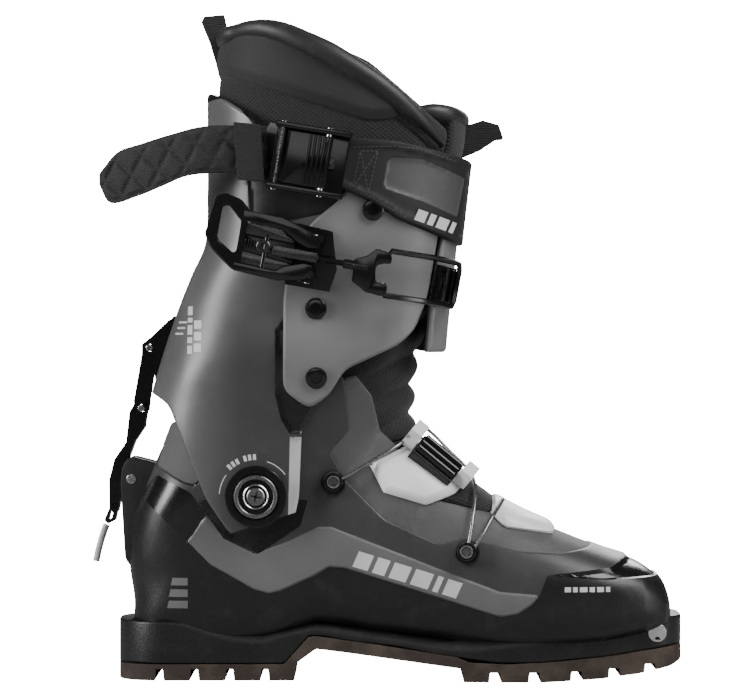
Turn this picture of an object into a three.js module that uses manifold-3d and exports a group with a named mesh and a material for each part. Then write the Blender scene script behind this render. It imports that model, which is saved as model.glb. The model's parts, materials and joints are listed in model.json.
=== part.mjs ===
// A ski touring boot for the right foot, in millimetres, +Z up and +X towards the toe.
// The origin lies on the ground, on the boot's centre line, straight below the cuff's pivot.
// The outer side, with the cuff buckle, is at -Y.
import * as THREE from "three";
import { mergeVertices } from "three/addons/utils/BufferGeometryUtils.js";
import Module from "manifold-3d";

// ---------- driving sizes ----------
const SOLE_LENGTH = 297; // heel lug's back to toe lug's front
const CUFF_TOP = 309; // height of the rear cuff's top edge
const BALL_WIDTH = 106; // shell, outside, at the ball of the foot
const ANKLE_WIDTH = 87; // shell, outside, at the pivots
const CALF_WIDTH = 116; // rear cuff, outside, at the top
const LUG_WIDTH = 69; // toe and heel lugs, as bindings need them
const PIVOT_HEIGHT = 97;
const SHELL_WALL = 3.4;
const CUFF_WALL = 3.2;
const FLAP_WALL = 2.6; // front cuff flaps
const LINER_WALL = 6;
const GAITER_WALL = 2.4;
const PLATE_WALL = 3.2; // instep and toe plates
const STRAP_WALL = 2.4;
const SEAT = 0.3; // gap between pieces that rest on each other
const RUN = 0.4; // gap round a piece that turns
const TREAD = 8.5; // depth of the rubber under the heel
const CABLE_R = 1.0;
const PIN_R = 2.6;
const BOLT_R = 4.6; // heads of the cuff bolts
const PIVOT_R = 6; // shank of the pivot bolt

// Side-view places are written for a 297 mm sole and a 309 mm cuff, and follow the driving sizes.
const along = SOLE_LENGTH / 297;
const upward = CUFF_TOP / 309;
const at = (x, z) => [x * along, z * upward];
const outline = (...points) => points.map(([x, z]) => at(x, z));

const HEEL_BACK = -73.5 * along;
const TOE_FRONT = HEEL_BACK + SOLE_LENGTH;

// ---------- materials ----------
const finish = (color, roughness, metalness = 0) =>
  new THREE.MeshStandardMaterial({ color, roughness, metalness });
const MATERIAL = {
  shell: finish(0x2b2b2d, 0.42),
  cuff: finish(0x4a4a4c, 0.4),
  flap: finish(0x77777a, 0.42),
  softGrey: finish(0x5a5a5c, 0.75),
  plate: finish(0xcfcfcd, 0.4),
  rubber: finish(0x3b2f26, 0.85),
  liner: finish(0x1b1b1c, 0.95),
  strap: finish(0x161617, 0.9),
  blackMetal: finish(0x0d0d0e, 0.35, 0.8),
  greyMetal: finish(0x3a3a3c, 0.4, 0.8),
  steel: finish(0xb8b8ba, 0.25, 1),
  foam: finish(0x4d4d4a, 0.95),
};

// ---------- solids ----------
const wasm = await Module();
wasm.setup();

// A closed geometry as a solid that can be cut and joined.
function solid(geometry) {
  const bare = geometry.index ? geometry.toNonIndexed() : geometry.clone();
  bare.deleteAttribute("normal");
  bare.deleteAttribute("uv");
  const merged = mergeVertices(bare, 1e-4);
  return new wasm.Manifold(
    new wasm.Mesh({
      numProp: 3,
      vertProperties: merged.attributes.position.array,
      triVerts: new Uint32Array(merged.index.array),
    }),
  );
}

function geometryOf(made) {
  const mesh = made.getMesh();
  const geometry = new THREE.BufferGeometry();
  geometry.setAttribute("position", new THREE.BufferAttribute(new Float32Array(mesh.vertProperties), 3));
  geometry.setIndex(new THREE.BufferAttribute(new Uint32Array(mesh.triVerts), 1));
  geometry.computeVertexNormals();
  return geometry;
}

// The largest body of a cut: trimming a curved wall can leave crumbs.
function largest(made) {
  return made.decompose().reduce((best, body) => (body.volume() > best.volume() ? body : best));
}

const join = (...parts) => parts.reduce((sum, part) => sum.add(part));
const cut = (body, ...tools) => tools.reduce((rest, tool) => rest.subtract(tool), body);

// A side-view outline of [x, z] points, extruded across the boot from y0 to y1.
function prism(points, y0 = -120, y1 = 120) {
  const shape = new THREE.Shape(points.map(([x, z]) => new THREE.Vector2(x, z)));
  const geometry = new THREE.ExtrudeGeometry(shape, { depth: y1 - y0, bevelEnabled: false });
  geometry.rotateX(Math.PI / 2);
  geometry.translate(0, y1, 0);
  return solid(geometry);
}

// A plan-view outline of [x, y] points, extruded from z0 to z1.
function slab(points, z0, z1) {
  const shape = new THREE.Shape(points.map(([x, y]) => new THREE.Vector2(x, y)));
  const geometry = new THREE.ExtrudeGeometry(shape, { depth: z1 - z0, bevelEnabled: false });
  geometry.translate(0, 0, z0);
  return solid(geometry);
}

// An open outline moved sideways by a distance, to its left as it runs.
function shifted(points, distance) {
  return points.map(([x, z], i) => {
    const [before, after] = [points[Math.max(0, i - 1)], points[Math.min(points.length - 1, i + 1)]];
    const run = new THREE.Vector2(after[0] - before[0], after[1] - before[1]).normalize();
    return [x - run.y * distance * 1.15, z + run.x * distance * 1.15];
  });
}

function block(x0, x1, y0, y1, z0, z1) {
  const geometry = new THREE.BoxGeometry(x1 - x0, y1 - y0, z1 - z0);
  geometry.translate((x0 + x1) / 2, (y0 + y1) / 2, (z0 + z1) / 2);
  return solid(geometry);
}

// A round bar of radius r between two points.
function bar(from, to, r, sides = 16) {
  const a = new THREE.Vector3(...from);
  const b = new THREE.Vector3(...to);
  const geometry = new THREE.CylinderGeometry(r, r, a.distanceTo(b), sides);
  const turn = new THREE.Quaternion().setFromUnitVectors(
    new THREE.Vector3(0, 1, 0), b.clone().sub(a).normalize());
  geometry.applyQuaternion(turn);
  geometry.translate((a.x + b.x) / 2, (a.y + b.y) / 2, (a.z + b.z) / 2);
  return solid(geometry);
}

// A round disc across the boot at (x, z), from y0 to y1.
const disc = (x, z, r, y0, y1, sides = 20) => bar([x, y0, z], [x, y1, z], r, sides);

// A wire or cord of radius r along a smooth curve through points.
function wire(points, r, steps, sides = 8, tension = 0.5) {
  const curve = new THREE.CatmullRomCurve3(
    points.map((p) => new THREE.Vector3(...p)), false, "catmullrom", tension);
  const section = new THREE.Shape();
  for (let i = 0; i < sides; i++) {
    const a = (2 * Math.PI * i) / sides;
    section[i ? "lineTo" : "moveTo"](r * Math.cos(a), r * Math.sin(a));
  }
  return solid(new THREE.ExtrudeGeometry(section, { steps, bevelEnabled: false, extrudePath: curve }));
}

// A flat band as thick as its wall. Each row gives a point of its low edge and of its high edge, and
// out, the direction across its face.
function ribbon(rows, wall) {
  const positions = [];
  const index = [];
  rows.forEach(({ low, high, out }) => {
    const push = (p, k) => positions.push(p[0] + out[0] * k, p[1] + out[1] * k, p[2] + out[2] * k);
    push(low, 0);
    push(high, 0);
    push(high, wall);
    push(low, wall);
  });
  const last = (rows.length - 1) * 4;
  for (let i = 0; i < last; i += 4)
    for (let k = 0; k < 4; k++) {
      const next = (k + 1) % 4;
      index.push(i + k, i + next, i + 4 + next, i + k, i + 4 + next, i + 4 + k);
    }
  index.push(0, 2, 1, 0, 3, 2, last, last + 1, last + 2, last, last + 2, last + 3);
  const geometry = new THREE.BufferGeometry();
  geometry.setAttribute("position", new THREE.Float32BufferAttribute(positions, 3));
  geometry.setIndex(index);
  const made = solid(geometry);
  if (made.volume() > 0) return made;
  for (let i = 0; i < index.length; i += 3) [index[i + 1], index[i + 2]] = [index[i + 2], index[i + 1]];
  geometry.setIndex(index);
  return solid(geometry);
}

// ---------- lofts ----------
// A boot's surface is a row of stations. Each has a front point and a back point in the side view
// and a half width; its section is a superellipse between the two points. A loft goes smoothly
// through its stations, and grow moves its wall outwards.
class Loft {
  constructor(stations, frontPower, backPower) {
    const curve = (pick) => new THREE.CatmullRomCurve3(stations.map(pick), false, "centripetal");
    this.front = curve((s) => new THREE.Vector3(s.front[0], 0, s.front[1]));
    this.back = curve((s) => new THREE.Vector3(s.back[0], 0, s.back[1]));
    this.half = curve((s, i) => new THREE.Vector3(i * 40, s.half, 0));
    this.powers = [frontPower, backPower];
  }

  // u runs along the stations, angle round the section: 0 at the front, a half turn at the back,
  // and positive angles on the inner side, +Y.
  point(u, angle, grow = 0) {
    const f = this.front.getPoint(u);
    const b = this.back.getPoint(u);
    const w = this.half.getPoint(u).y + grow;
    const middle = f.clone().add(b).multiplyScalar(0.5);
    const reach = f.clone().sub(b).multiplyScalar(0.5);
    reach.multiplyScalar(1 + grow / reach.length());
    const c = Math.cos(angle);
    const s = Math.sin(angle);
    const power = 2 / (c > 0 ? this.powers[0] : this.powers[1]);
    const forward = Math.sign(c) * Math.abs(c) ** power;
    const sideways = Math.sign(s) * Math.abs(s) ** power;
    return new THREE.Vector3(middle.x + reach.x * forward, w * sideways, middle.z + reach.z * forward);
  }

  body(grow, rows, columns, from = 0, to = 1) {
    const positions = [];
    const index = [];
    for (let i = 0; i <= rows; i++) {
      const u = from + ((to - from) * i) / rows;
      for (let k = 0; k < columns; k++) {
        const p = this.point(u, (2 * Math.PI * k) / columns, grow);
        positions.push(p.x, p.y, p.z);
      }
    }
    for (const u of [from, to]) {
      const f = this.point(u, 0, grow);
      const b = this.point(u, Math.PI, grow);
      positions.push((f.x + b.x) / 2, 0, (f.z + b.z) / 2);
    }
    const ends = [(rows + 1) * columns, (rows + 1) * columns + 1];
    for (let k = 0; k < columns; k++) {
      const next = (k + 1) % columns;
      for (let i = 0; i < rows; i++) {
        const a = i * columns;
        index.push(a + k, a + next, a + columns + next, a + k, a + columns + next, a + columns + k);
      }
      index.push(ends[0], next, k, ends[1], rows * columns + k, rows * columns + next);
    }
    const geometry = new THREE.BufferGeometry();
    geometry.setAttribute("position", new THREE.Float32BufferAttribute(positions, 3));
    geometry.setIndex(index);
    const made = solid(geometry);
    if (made.volume() > 0) return made;
    for (let i = 0; i < index.length; i += 3)
      [index[i + 1], index[i + 2]] = [index[i + 2], index[i + 1]];
    geometry.setIndex(index);
    return solid(geometry);
  }

  // The point of one side's surface that shows at (x, z) in the side view, by a search over the
  // loft, with the outward normal there. side is -1 for the outer side, 1 for the inner.
  seat(x, z, side = -1, grow = 0) {
    let [u, angle] = [0.5, Math.PI / 2];
    let best = Infinity;
    const gap = (p) => Math.hypot(p.x - x, p.z - z);
    for (let i = 0; i <= 40; i++)
      for (let k = 1; k < 40; k++) {
        const d = gap(this.point(i / 40, (Math.PI * k) / 40, grow));
        if (d < best) [best, u, angle] = [d, i / 40, (Math.PI * k) / 40];
      }
    for (let step = 0.02; step > 1e-5; step /= 2)
      for (let turn = 0; turn < 8; turn++)
        for (const [du, da] of [[step, 0], [-step, 0], [0, step * 4], [0, -step * 4]]) {
          const v = Math.min(1, Math.max(0, u + du));
          const d = gap(this.point(v, angle + da, grow));
          if (d < best) [best, u, angle] = [d, v, angle + da];
        }
    const e = 1e-3;
    const p = this.point(u, angle, grow);
    const pu = this.point(Math.min(1, u + e), angle, grow)
      .sub(this.point(Math.max(0, u - e), angle, grow));
    const pa = this.point(u, angle + e, grow).sub(this.point(u, angle - e, grow));
    const normal = pu.cross(pa).normalize();
    if (normal.y < 0) normal.negate();
    return {
      point: new THREE.Vector3(p.x, p.y * side, p.z),
      normal: new THREE.Vector3(normal.x, normal.y * side, normal.z),
    };
  }
}

const station = (front, back, half) => ({ front: at(...front), back: at(...back), half });
const ball = BALL_WIDTH / 2;
const ankle = ANKLE_WIDTH / 2;
const calf = CALF_WIDTH / 2;

// The foot from the toe, round the heel, and up to the ankle.
const ROWS = 18;
const COLUMNS = 20;
const foot = new Loft([
  station([216.5, 45], [217, 27], ball * 0.5),
  station([213, 53], [214, 24.5], ball * 0.66),
  station([202, 62], [204, 22], ball * 0.82),
  station([182, 69], [184, 17.5], ball * 0.95),
  station([159, 78], [158, 13.5], ball),
  station([136, 88], [131, 11], ball * 0.97),
  station([115, 101], [100, 15], ball * 0.9),
  station([101, 114], [64, 20.5], ankle * 1.02),
  station([90, 125], [31, 25], ankle * 0.99),
  station([82, 134], [0, 15], ankle * 0.96),
  station([82, 144], [-40, 11], ankle * 0.93),
  station([85, 152], [-64, 20], ankle * 0.92),
  station([89, 160], [-66, 42], ankle * 0.94),
  station([93, 168], [-68.5, 61], ankle * 0.97),
  station([97, 176], [-66.5, 82], ankle),
  station([101, 186], [-58, 105], ankle),
  station([104, 196], [-50, 125], ankle * 0.985),
  station([106, 206], [-44, 142], ankle * 0.97),
  station([108, 216], [-40, 160], ankle * 0.96),
], 2.6, 3.2);

// The cuff from below the pivots to the calf.
const cuffShape = new Loft([
  station([92, 112], [-68, 60], ankle + 6.5),
  station([94, 140], [-65, 105], ankle + 6.8),
  station([96, 163], [-58.5, 143], ankle + 8.5),
  station([97.5, 180], [-52.5, 165], ankle + 10.5),
  station([99.5, 200], [-43, 194], calf - 5.5),
  station([101.5, 217], [-35.5, 213], calf - 3.5),
  station([103, 232], [-28.5, 229], calf - 2.2),
  station([106, 258], [-27.2, 258], calf - 0.8),
  station([109, 285], [-27.2, 290], calf),
  station([111, 305], [-27.2, 318], calf),
], 2.5, 2.7);

// The liner's leg, inside the cuff and out of its top.
const linerShape = new Loft([
  station([84, 112], [-55, 72], ankle - 7),
  station([82, 140], [-50, 108], ankle - 6.5),
  station([83, 162], [-38.5, 142], ankle - 5.5),
  station([89, 190], [-36.5, 178], calf - 12.5),
  station([94, 215], [-29, 210], calf - 9),
  station([98, 245], [-22, 245], calf - 7),
  station([102, 268], [-21.5, 285], calf - 6),
  station([106, 285], [-20.5, 318], calf - 5.5),
  station([106, 322], [-13, 364], calf - 7),
], 2.3, 2.4);

// ---------- the assembly ----------
const boot = new THREE.Group();
boot.name = "boot";
const group = (parent, x, y, z) => {
  const made = new THREE.Group();
  parent.add(made);
  parent.updateMatrixWorld(true);
  made.position.copy(parent.worldToLocal(new THREE.Vector3(x, y, z)));
  made.updateMatrixWorld(true);
  return made;
};

// Puts a solid made in the boot's frame into a group, which keeps it where it is.
function place(parent, name, made, material) {
  const mesh = new THREE.Mesh(geometryOf(largest(made)), MATERIAL[material]);
  mesh.name = name;
  parent.updateMatrixWorld(true);
  boot.add(mesh);
  parent.attach(mesh);
  return mesh;
}

const [PIVOT_X, PIVOT_Z] = [0, PIVOT_HEIGHT];
const LATCH_TOP = at(-58.1, 174.1); // pin between the cuff's bracket and the link
const LATCH_MIDDLE = at(-62.4, 142.1); // pin between the link and the lever
const LATCH_PIN = at(-67.2, 104.8); // the shell's pin that the lever hooks on

const shellBody = group(boot, 0, 0, 0);
const cuffBody = group(boot, PIVOT_X, 0, PIVOT_Z);

// ---------- outsole ----------
// Points of the rubber's top in the side view, from the heel to the toe.
const rubberTop = [
  [-75 * along, TREAD], [14 * along, TREAD], ...outline([27, 22.8], [31, 23.2], [104, 13.2],
    [111, 10.2], [131, 9.4], [158, 10.8], [182, 13], [203, 15.8], [226, 19]),
];
const rubberBottom = outline([226, 12], [217, 7.5], [199, 3.6], [180, 1.4], [150, 0], [108, 0], [107, 7],
  [31, 16.5], [20.5, 9]).concat([[19.6 * along, 0], [-75 * along, 0]]);
const planHalf = LUG_WIDTH / 2;

// The sole in plan: a rounded heel, a waist and a rounded toe.
const soleShape = new THREE.Shape();
const heelCorner = 26;
const toeCorner = 22;
soleShape.moveTo(HEEL_BACK, -planHalf + heelCorner);
soleShape.quadraticCurveTo(HEEL_BACK, -planHalf, HEEL_BACK + heelCorner, -planHalf);
soleShape.lineTo(30 * along, -planHalf + 1);
soleShape.bezierCurveTo(70 * along, -planHalf + 2, 80 * along, -ball + 8, 140 * along, -ball + 8);
soleShape.bezierCurveTo(170 * along, -ball + 8, 185 * along, -planHalf, TOE_FRONT - toeCorner, -planHalf);
soleShape.quadraticCurveTo(TOE_FRONT, -planHalf, TOE_FRONT, -planHalf + toeCorner);
const solePlan = soleShape.getPoints(7).map((p) => [p.x, p.y]);
solePlan.push(...solePlan.map(([x, y]) => [x, -y]).reverse());
const soleColumn = slab(solePlan, -10, 60);

// Grooves that part the lugs: each is a slot right across, deeper than it is wide.
const LUG = 12.5;
const LUG_GAP = 5.9;
const groove = (x0, x1, top) =>
  prism([[x0, -5], [x1, -5], [x1 - 1.2, top], [x0 + 1.2, top]]);
const grooves = [];
for (let i = 0; i < 4; i++) {
  const start = HEEL_BACK + 7 + LUG + i * (LUG + LUG_GAP);
  grooves.push(groove(start, start + LUG_GAP, TREAD - 2.6));
}
const FRONT_LUGS = [120.5, 141, 163, 183, 202];
FRONT_LUGS.forEach((x, i) => {
  const lift = [0, 0, 0.4, 1.6, 3.8][i];
  grooves.push(groove(x * along, (x + 7.5) * along, lift + 5));
});
const outsole = cut(
  prism([...rubberTop, ...rubberBottom]).intersect(soleColumn),
  foot.body(SEAT, ROWS, COLUMNS), ...grooves);
place(shellBody, "outsole", outsole, "rubber");

// ---------- lower shell ----------
// The line along which the shell's edge laps the soft gaiter, from the ankle to the toe.
const LAP = outline([46, 158], [48.8, 131.4], [38.4, 120], [46.2, 105.4], [67, 84.6], [95.6, 71.6],
  [108.6, 75.3], [137, 68.5], [158, 67.5], [173.6, 70.1], [180, 73]);
const shellKept = prism([
  at(-100, -10), at(-100, 134), at(-45, 134), at(-24, 139.5), at(20, 161), at(42, 164), ...LAP,
  at(188, 95), at(250, 95), at(250, -10)]);
const noseLimit = prism(outline([-150, -10], [213, -10], [213, 250], [-150, 250]));
const cavity = foot.body(-SHELL_WALL, ROWS, COLUMNS).intersect(noseLimit);

// Lugs that a binding clamps: the rubber's top line is their underside.
const underside = rubberTop.map(([x, z]) => [x, z + SEAT]);
const lugBand = prism([
  ...underside, ...outline([226, 33.5], [176, 33.5], [150, 26], [100, 19], [30, 30], [2, 24], [-38, 31],
    [-75, 31])]).intersect(soleColumn);

// Two ears behind the heel hold the latch pin and leave a channel for the lever, and the shell's
// wall goes round the channel's floor.
const EAR_GAP = 8; // half the channel's width
const EAR_WALL = 5;
const earOutline = outline([-50, 112], [-56, 114], [-68, 117], [-72, 112], [-73, 103], [-70.5, 62],
  [-60, 50], [-50, 70]);
const ears = [-1, 1].map((side) => prism(
  earOutline, ...(side < 0 ? [-EAR_GAP - EAR_WALL, -EAR_GAP] : [EAR_GAP, EAR_GAP + EAR_WALL])));
const channel = prism(outline([-90, 122], [-61, 122], [-62.3, 112], [-62.3, 92], [-66.5, 74], [-64.2, 60],
  [-72, 46], [-90, 46]), -EAR_GAP, EAR_GAP);
const CHANNEL_WALL = 3;
const channelWall = (grow) => prism(
  outline([-70, 130], [-57.8 + grow, 122], [-59 + grow, 112], [-59 + grow, 92], [-62.4 + grow, 74],
    [-60.8 + grow, 60], [-66, 40 - grow], [-80, 40 - grow], [-80, 130]),
  -EAR_GAP - CHANNEL_WALL - grow, EAR_GAP + CHANNEL_WALL + grow);

const INSERT_X = 209.5 * along;
const INSERT_Z = 25 * upward;
const INSERT_R = 4.8;
const HEEL_INSERT = { half: 9, depth: 6, low: 12, high: 26 };
const insertHoles = [-1, 1].map((side) =>
  disc(INSERT_X, INSERT_Z, INSERT_R + SEAT, side * (planHalf - 9), side * (planHalf + 5)));
const heelPocket = block(HEEL_BACK - 5, HEEL_BACK + HEEL_INSERT.depth, -HEEL_INSERT.half - SEAT,
  HEEL_INSERT.half + SEAT, HEEL_INSERT.low - SEAT, HEEL_INSERT.high + SEAT);
const pivotHoles = [-1, 1].map((side) =>
  disc(PIVOT_X, PIVOT_Z, PIVOT_R + SEAT, side * 30, side * 70));
const latchBore = disc(...LATCH_PIN, PIN_R + SEAT, -EAR_GAP - EAR_WALL - 1, EAR_GAP + EAR_WALL + 1, 20);

const BOSS_R = 18; // flat round the pivots, on the shell and inside the cuff
const BOSS_OUT = ankle + 3; // the shell's flat, from the centre line
const shellBosses = [-1, 1].map((side) =>
  disc(PIVOT_X, PIVOT_Z, BOSS_R, side * (ankle - 8), side * BOSS_OUT));
let lowerShell = foot.body(0, ROWS, COLUMNS).intersect(shellKept);
lowerShell = join(lowerShell, lugBand, ...ears, ...shellBosses);
lowerShell = cut(lowerShell, channel, cut(cavity, channelWall(0)), ...insertHoles, heelPocket,
  ...pivotHoles, latchBore);

// Anchors of the instep cable, on the outer side.
const REAR_ANCHOR = foot.seat(...at(40, 103.5));
const FRONT_ANCHOR = foot.seat(...at(110, 67.5));
const ANCHOR_R = 3;
const outFrom = (point, normal, k) => point.clone().addScaledVector(normal, k).toArray();
const studHoles = [REAR_ANCHOR, FRONT_ANCHOR].map(({ point, normal }) =>
  bar(outFrom(point, normal, -9), outFrom(point, normal, 6), ANCHOR_R + SEAT));
lowerShell = cut(lowerShell, ...studHoles);
place(shellBody, "lower_shell", lowerShell, "shell");

place(shellBody, "latch_pin",
  disc(...LATCH_PIN, PIN_R, -EAR_GAP - EAR_WALL - 0.4, EAR_GAP + EAR_WALL + 0.4, 16), "steel");

// Steel cups for the pins of a touring binding, and the plate for its heel.
["outer", "inner"].forEach((side, i) => {
  const s = i ? 1 : -1;
  const cup = cut(
    disc(INSERT_X, INSERT_Z, INSERT_R, s * (planHalf - 8), s * (planHalf - 0.2), 20),
    solid(new THREE.ConeGeometry(2.9, 7, 16).rotateX(s > 0 ? -Math.PI / 2 : Math.PI / 2)
      .translate(INSERT_X, s * (planHalf - 2.5), INSERT_Z)));
  place(shellBody, `toe_insert_${side}`, cup, "steel");
});
const slot = (y) => block(HEEL_BACK - 1, HEEL_BACK + 3.5, y - 1.6, y + 1.6, HEEL_INSERT.low - 1,
  HEEL_INSERT.high - 4);
place(shellBody, "heel_insert", cut(
  block(HEEL_BACK + 0.6, HEEL_BACK + HEEL_INSERT.depth - SEAT, -HEEL_INSERT.half, HEEL_INSERT.half,
    HEEL_INSERT.low, HEEL_INSERT.high), slot(-5), slot(5)), "steel");

// ---------- gaiter, liner foot and boot board ----------
const LAPPED = shifted(LAP, 0.6).slice(0, -1);
const GAITER_TOP = outline([165, 92], [158.5, 84.1], [137.6, 85.2], [114, 90.4], [91, 96], [78, 110],
  [74, 123]);
const gaiterKept = prism([...LAPPED, at(180.6, 74.5), ...GAITER_TOP, ...outline([65, 131], [60.5, 149.5],
  [52, 160])]);
const GAITER_OUT = -0.8; // its outer face, against the shell's
const gaiterLayer = cut(
  foot.body(GAITER_OUT, ROWS, COLUMNS), foot.body(GAITER_OUT - GAITER_WALL, ROWS, COLUMNS));
place(shellBody, "gaiter", gaiterLayer.intersect(gaiterKept), "softGrey");

const board = foot.body(-SHELL_WALL - SEAT, ROWS, COLUMNS).intersect(noseLimit).intersect(
  prism(outline([-60, 10], [-60, 26], [0, 29], [31, 34.5], [64, 31], [100, 25.5], [131, 22], [158, 24],
    [195, 30.2], [195, 10], [131, 5], [64, 12], [31, 20], [0, 10])));
place(shellBody, "boot_board", cut(board, channelWall(SEAT)), "foam");

const LINER_GAP = SHELL_WALL + GAITER_WALL - 1.4;
const footLinerTop = prism([
  at(-100, 29.4), at(-60, 26.4), at(0, 29.4), at(31, 34.9), at(64, 31.4), at(100, 25.9), at(131, 22.4),
  at(158, 24.4), at(195, 30.8), at(230, 34), at(230, 110), at(140, 120), at(105, 134),
  [PIVOT_X + 40 * along, PIVOT_Z + 18], [PIVOT_X, PIVOT_Z + 6], [PIVOT_X - 90, PIVOT_Z + 14]]);
const footLinerOuter = foot.body(-LINER_GAP, ROWS, COLUMNS).intersect(
  prism(outline([-150, -10], [210, -10], [210, 250], [-150, 250])));
const footLinerInner = foot.body(-LINER_GAP - LINER_WALL, 15, 14).intersect(
  prism(outline([-150, -10], [203, -10], [203, 250], [-150, 250])));
const insole = prism(outline([-100, 0], [-100, 31.4], [-60, 31.4], [0, 34.4], [31, 39.9], [64, 36.4],
  [100, 30.9], [131, 27.4], [158, 28.9], [195, 33.4], [230, 35], [230, 0]));
place(shellBody, "liner_foot",
  cut(footLinerOuter, cut(footLinerInner, insole), channelWall(SEAT)).intersect(footLinerTop), "liner");

const tongueKept = prism([...GAITER_TOP.map(([x, z]) => [x + 0.3, z + 0.6]), ...outline([75, 124],
  [110, 135], [165, 100])]);
place(shellBody, "forefoot_tongue", gaiterLayer.intersect(tongueKept), "liner");

// ---------- liner leg ----------
// The leg's lower edge stays above the shell's rim however far the cuff leans, and the flexing part of
// the liner fills the space between the leg and the foot.
const LEG_EDGE = outline([-90, 152], [-42, 152.5], [-8, 169.5], [14, 180.5], [40, 184], [62, 192], [95, 215]);
const legKept = prism([...LEG_EDGE, at(200, 300), at(120, 300), at(108, 283), at(59, 323), at(12, 342.6),
  at(-9, 341.4), at(-31, 329), at(-100, 329)]);
const legInside = linerShape.body(-LINER_WALL, 10, 16);
// The shell's and the gaiter's walls, with room to slide, which the liner's leg stays inside of.
const ankleWalls = cut(foot.body(3, ROWS, COLUMNS), foot.body(-SHELL_WALL - 0.5, ROWS, COLUMNS))
  .intersect(prism(outline([-100, 0], [-100, 139], [-45, 141], [-20, 150], [20, 166], [66, 166], [70, 131],
    [110, 131], [110, 0])));
const cuffLayer = (grow) => cuffShape.body(grow, 9, 20);
const REAR = outline([-100, 152], [-56, 150], [-47, 144.5], [-26.4, 95.2], [-14.4, 78.1], [0, 71],
  [19.3, 83.8], [22.4, 95.2], [23.9, 131.5], [27, 137], [37, 155], [41, 165], [43, 200], [70, 236],
  [72, 262], [45, 284], [20, 287], [0.5, 292.5], [-27, 309], [-100, 311]);
const cuffWalls = cut(cuffLayer(3), cuffLayer(-CUFF_WALL - SEAT)).intersect(prism(REAR));
place(cuffBody, "liner_leg",
  cut(linerShape.body(0, 10, 16), legInside, cuffWalls).intersect(legKept), "liner");

const flexKept = prism([
  [PIVOT_X - 90, PIVOT_Z + 14.6], [PIVOT_X, PIVOT_Z + 6.6], [PIVOT_X + 40 * along, PIVOT_Z + 18.6],
  ...outline([104.5, 134.6], [118, 134.6]), ...[...LEG_EDGE].reverse().map(([x, z]) => [x + 0.5, z - 0.6])]);
place(shellBody, "liner_flex",
  cut(linerShape.body(-0.2, 10, 16), legInside, ankleWalls).intersect(flexKept), "liner");

// ---------- cuff ----------
const cuffBosses = [-1, 1].map((side) =>
  disc(PIVOT_X, PIVOT_Z, BOSS_R - 1, side * (BOSS_OUT + RUN), side * (BOSS_OUT + 5)));
const cuffBossRoom = [-1, 1].map((side) =>
  disc(PIVOT_X, PIVOT_Z, BOSS_R + 1, side * 25, side * (BOSS_OUT + RUN)));
const cuffPivotHoles = [-1, 1].map((side) =>
  disc(PIVOT_X, PIVOT_Z, PIVOT_R + RUN, side * 30, side * 90));
const BOLTS = outline([31.2, 194.3], [31.2, 159], [60.2, 245.6]);
const SHANK_R = 2.2;
const FLAP_IN = SEAT;
const FLAP_OUT = SEAT + FLAP_WALL;
const bolts = [];
[-1, 1].forEach((side) => BOLTS.forEach(([x, z]) => bolts.push({ side, ...cuffShape.seat(x, z, side, 0) })));
const boltHoles = bolts.map(({ point, normal }) =>
  bar(outFrom(point, normal, -8), outFrom(point, normal, 10), SHANK_R + SEAT, 12));
let rearCuff = cut(cuffLayer(0), cuffLayer(-CUFF_WALL)).intersect(prism(REAR));
rearCuff = cut(join(rearCuff, ...cuffBosses), ...cuffBossRoom, ...cuffPivotHoles, ...boltHoles);
place(cuffBody, "rear_cuff", rearCuff, "cuff");

// The front cuff is two flaps that meet over the shin, each bolted over the rear cuff.
const flapLayer = cut(cuffLayer(FLAP_OUT), cuffLayer(FLAP_IN));
const flapBack = [[57, 268], [43, 250], [30, 240], [17, 225], [14.1, 199], [14.1, 152.3], [24, 145],
  [29, 143], [38.4, 149.7], [46.2, 162.6], [74.7, 175.6]];
const outerFlap = prism(outline([66, 280], ...flapBack, [83.5, 183.5], [90, 200], [96, 234], [100, 276]),
  -120, 0);
const innerFlap = prism(
  outline([66, 280], ...flapBack, [93, 172], [120, 172], [130, 272], [112, 272]), 0, 120);
const innerLap = prism(outline([98.4, 234], [92.6, 202], [90, 172], [120, 172], [130, 272], [102, 272]),
  -120, 1);
place(cuffBody, "front_cuff_outer", cut(flapLayer.intersect(outerFlap), ...boltHoles), "flap");
place(cuffBody, "front_cuff_inner",
  cut(flapLayer.intersect(join(innerFlap, innerLap)), ...boltHoles), "flap");

const overFlap = cuffLayer(FLAP_OUT + 0.1);
bolts.forEach(({ side, point, normal }, i) => {
  const head = new THREE.LatheGeometry([[0, 0], [BOLT_R, 0], [BOLT_R, 0.9], [BOLT_R * 0.7, 2.1],
    [0, 2.6]].map(([x, y]) => new THREE.Vector2(x, y)), 16);
  head.applyQuaternion(new THREE.Quaternion().setFromUnitVectors(new THREE.Vector3(0, 1, 0), normal));
  head.translate(...outFrom(point, normal, FLAP_OUT + 0.6));
  const bolt = join(cut(solid(head), overFlap),
    bar(outFrom(point, normal, -CUFF_WALL + 0.3), outFrom(point, normal, FLAP_OUT + 1), SHANK_R, 12));
  place(cuffBody, `cuff_bolt_${side < 0 ? "outer" : "inner"}_${(i % 3) + 1}`, bolt, "blackMetal");
});

// Pivot bolts: fixed in the shell, the cuff turns round them.
[-1, 1].forEach((side) => {
  const y = (k) => side * (BOSS_OUT + k);
  const bolt = cut(join(
    disc(PIVOT_X, PIVOT_Z, PIVOT_R, side * (ankle - SHELL_WALL + 0.4), y(7), 16),
    disc(PIVOT_X, PIVOT_Z, 16, y(5 + RUN), y(6.8), 20),
    disc(PIVOT_X, PIVOT_Z, 11.3, y(6), y(8), 20)),
  disc(PIVOT_X, PIVOT_Z, 4.6, y(7.2), y(10), 12));
  place(shellBody, `pivot_bolt_${side < 0 ? "outer" : "inner"}`, bolt, "greyMetal");
});

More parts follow.
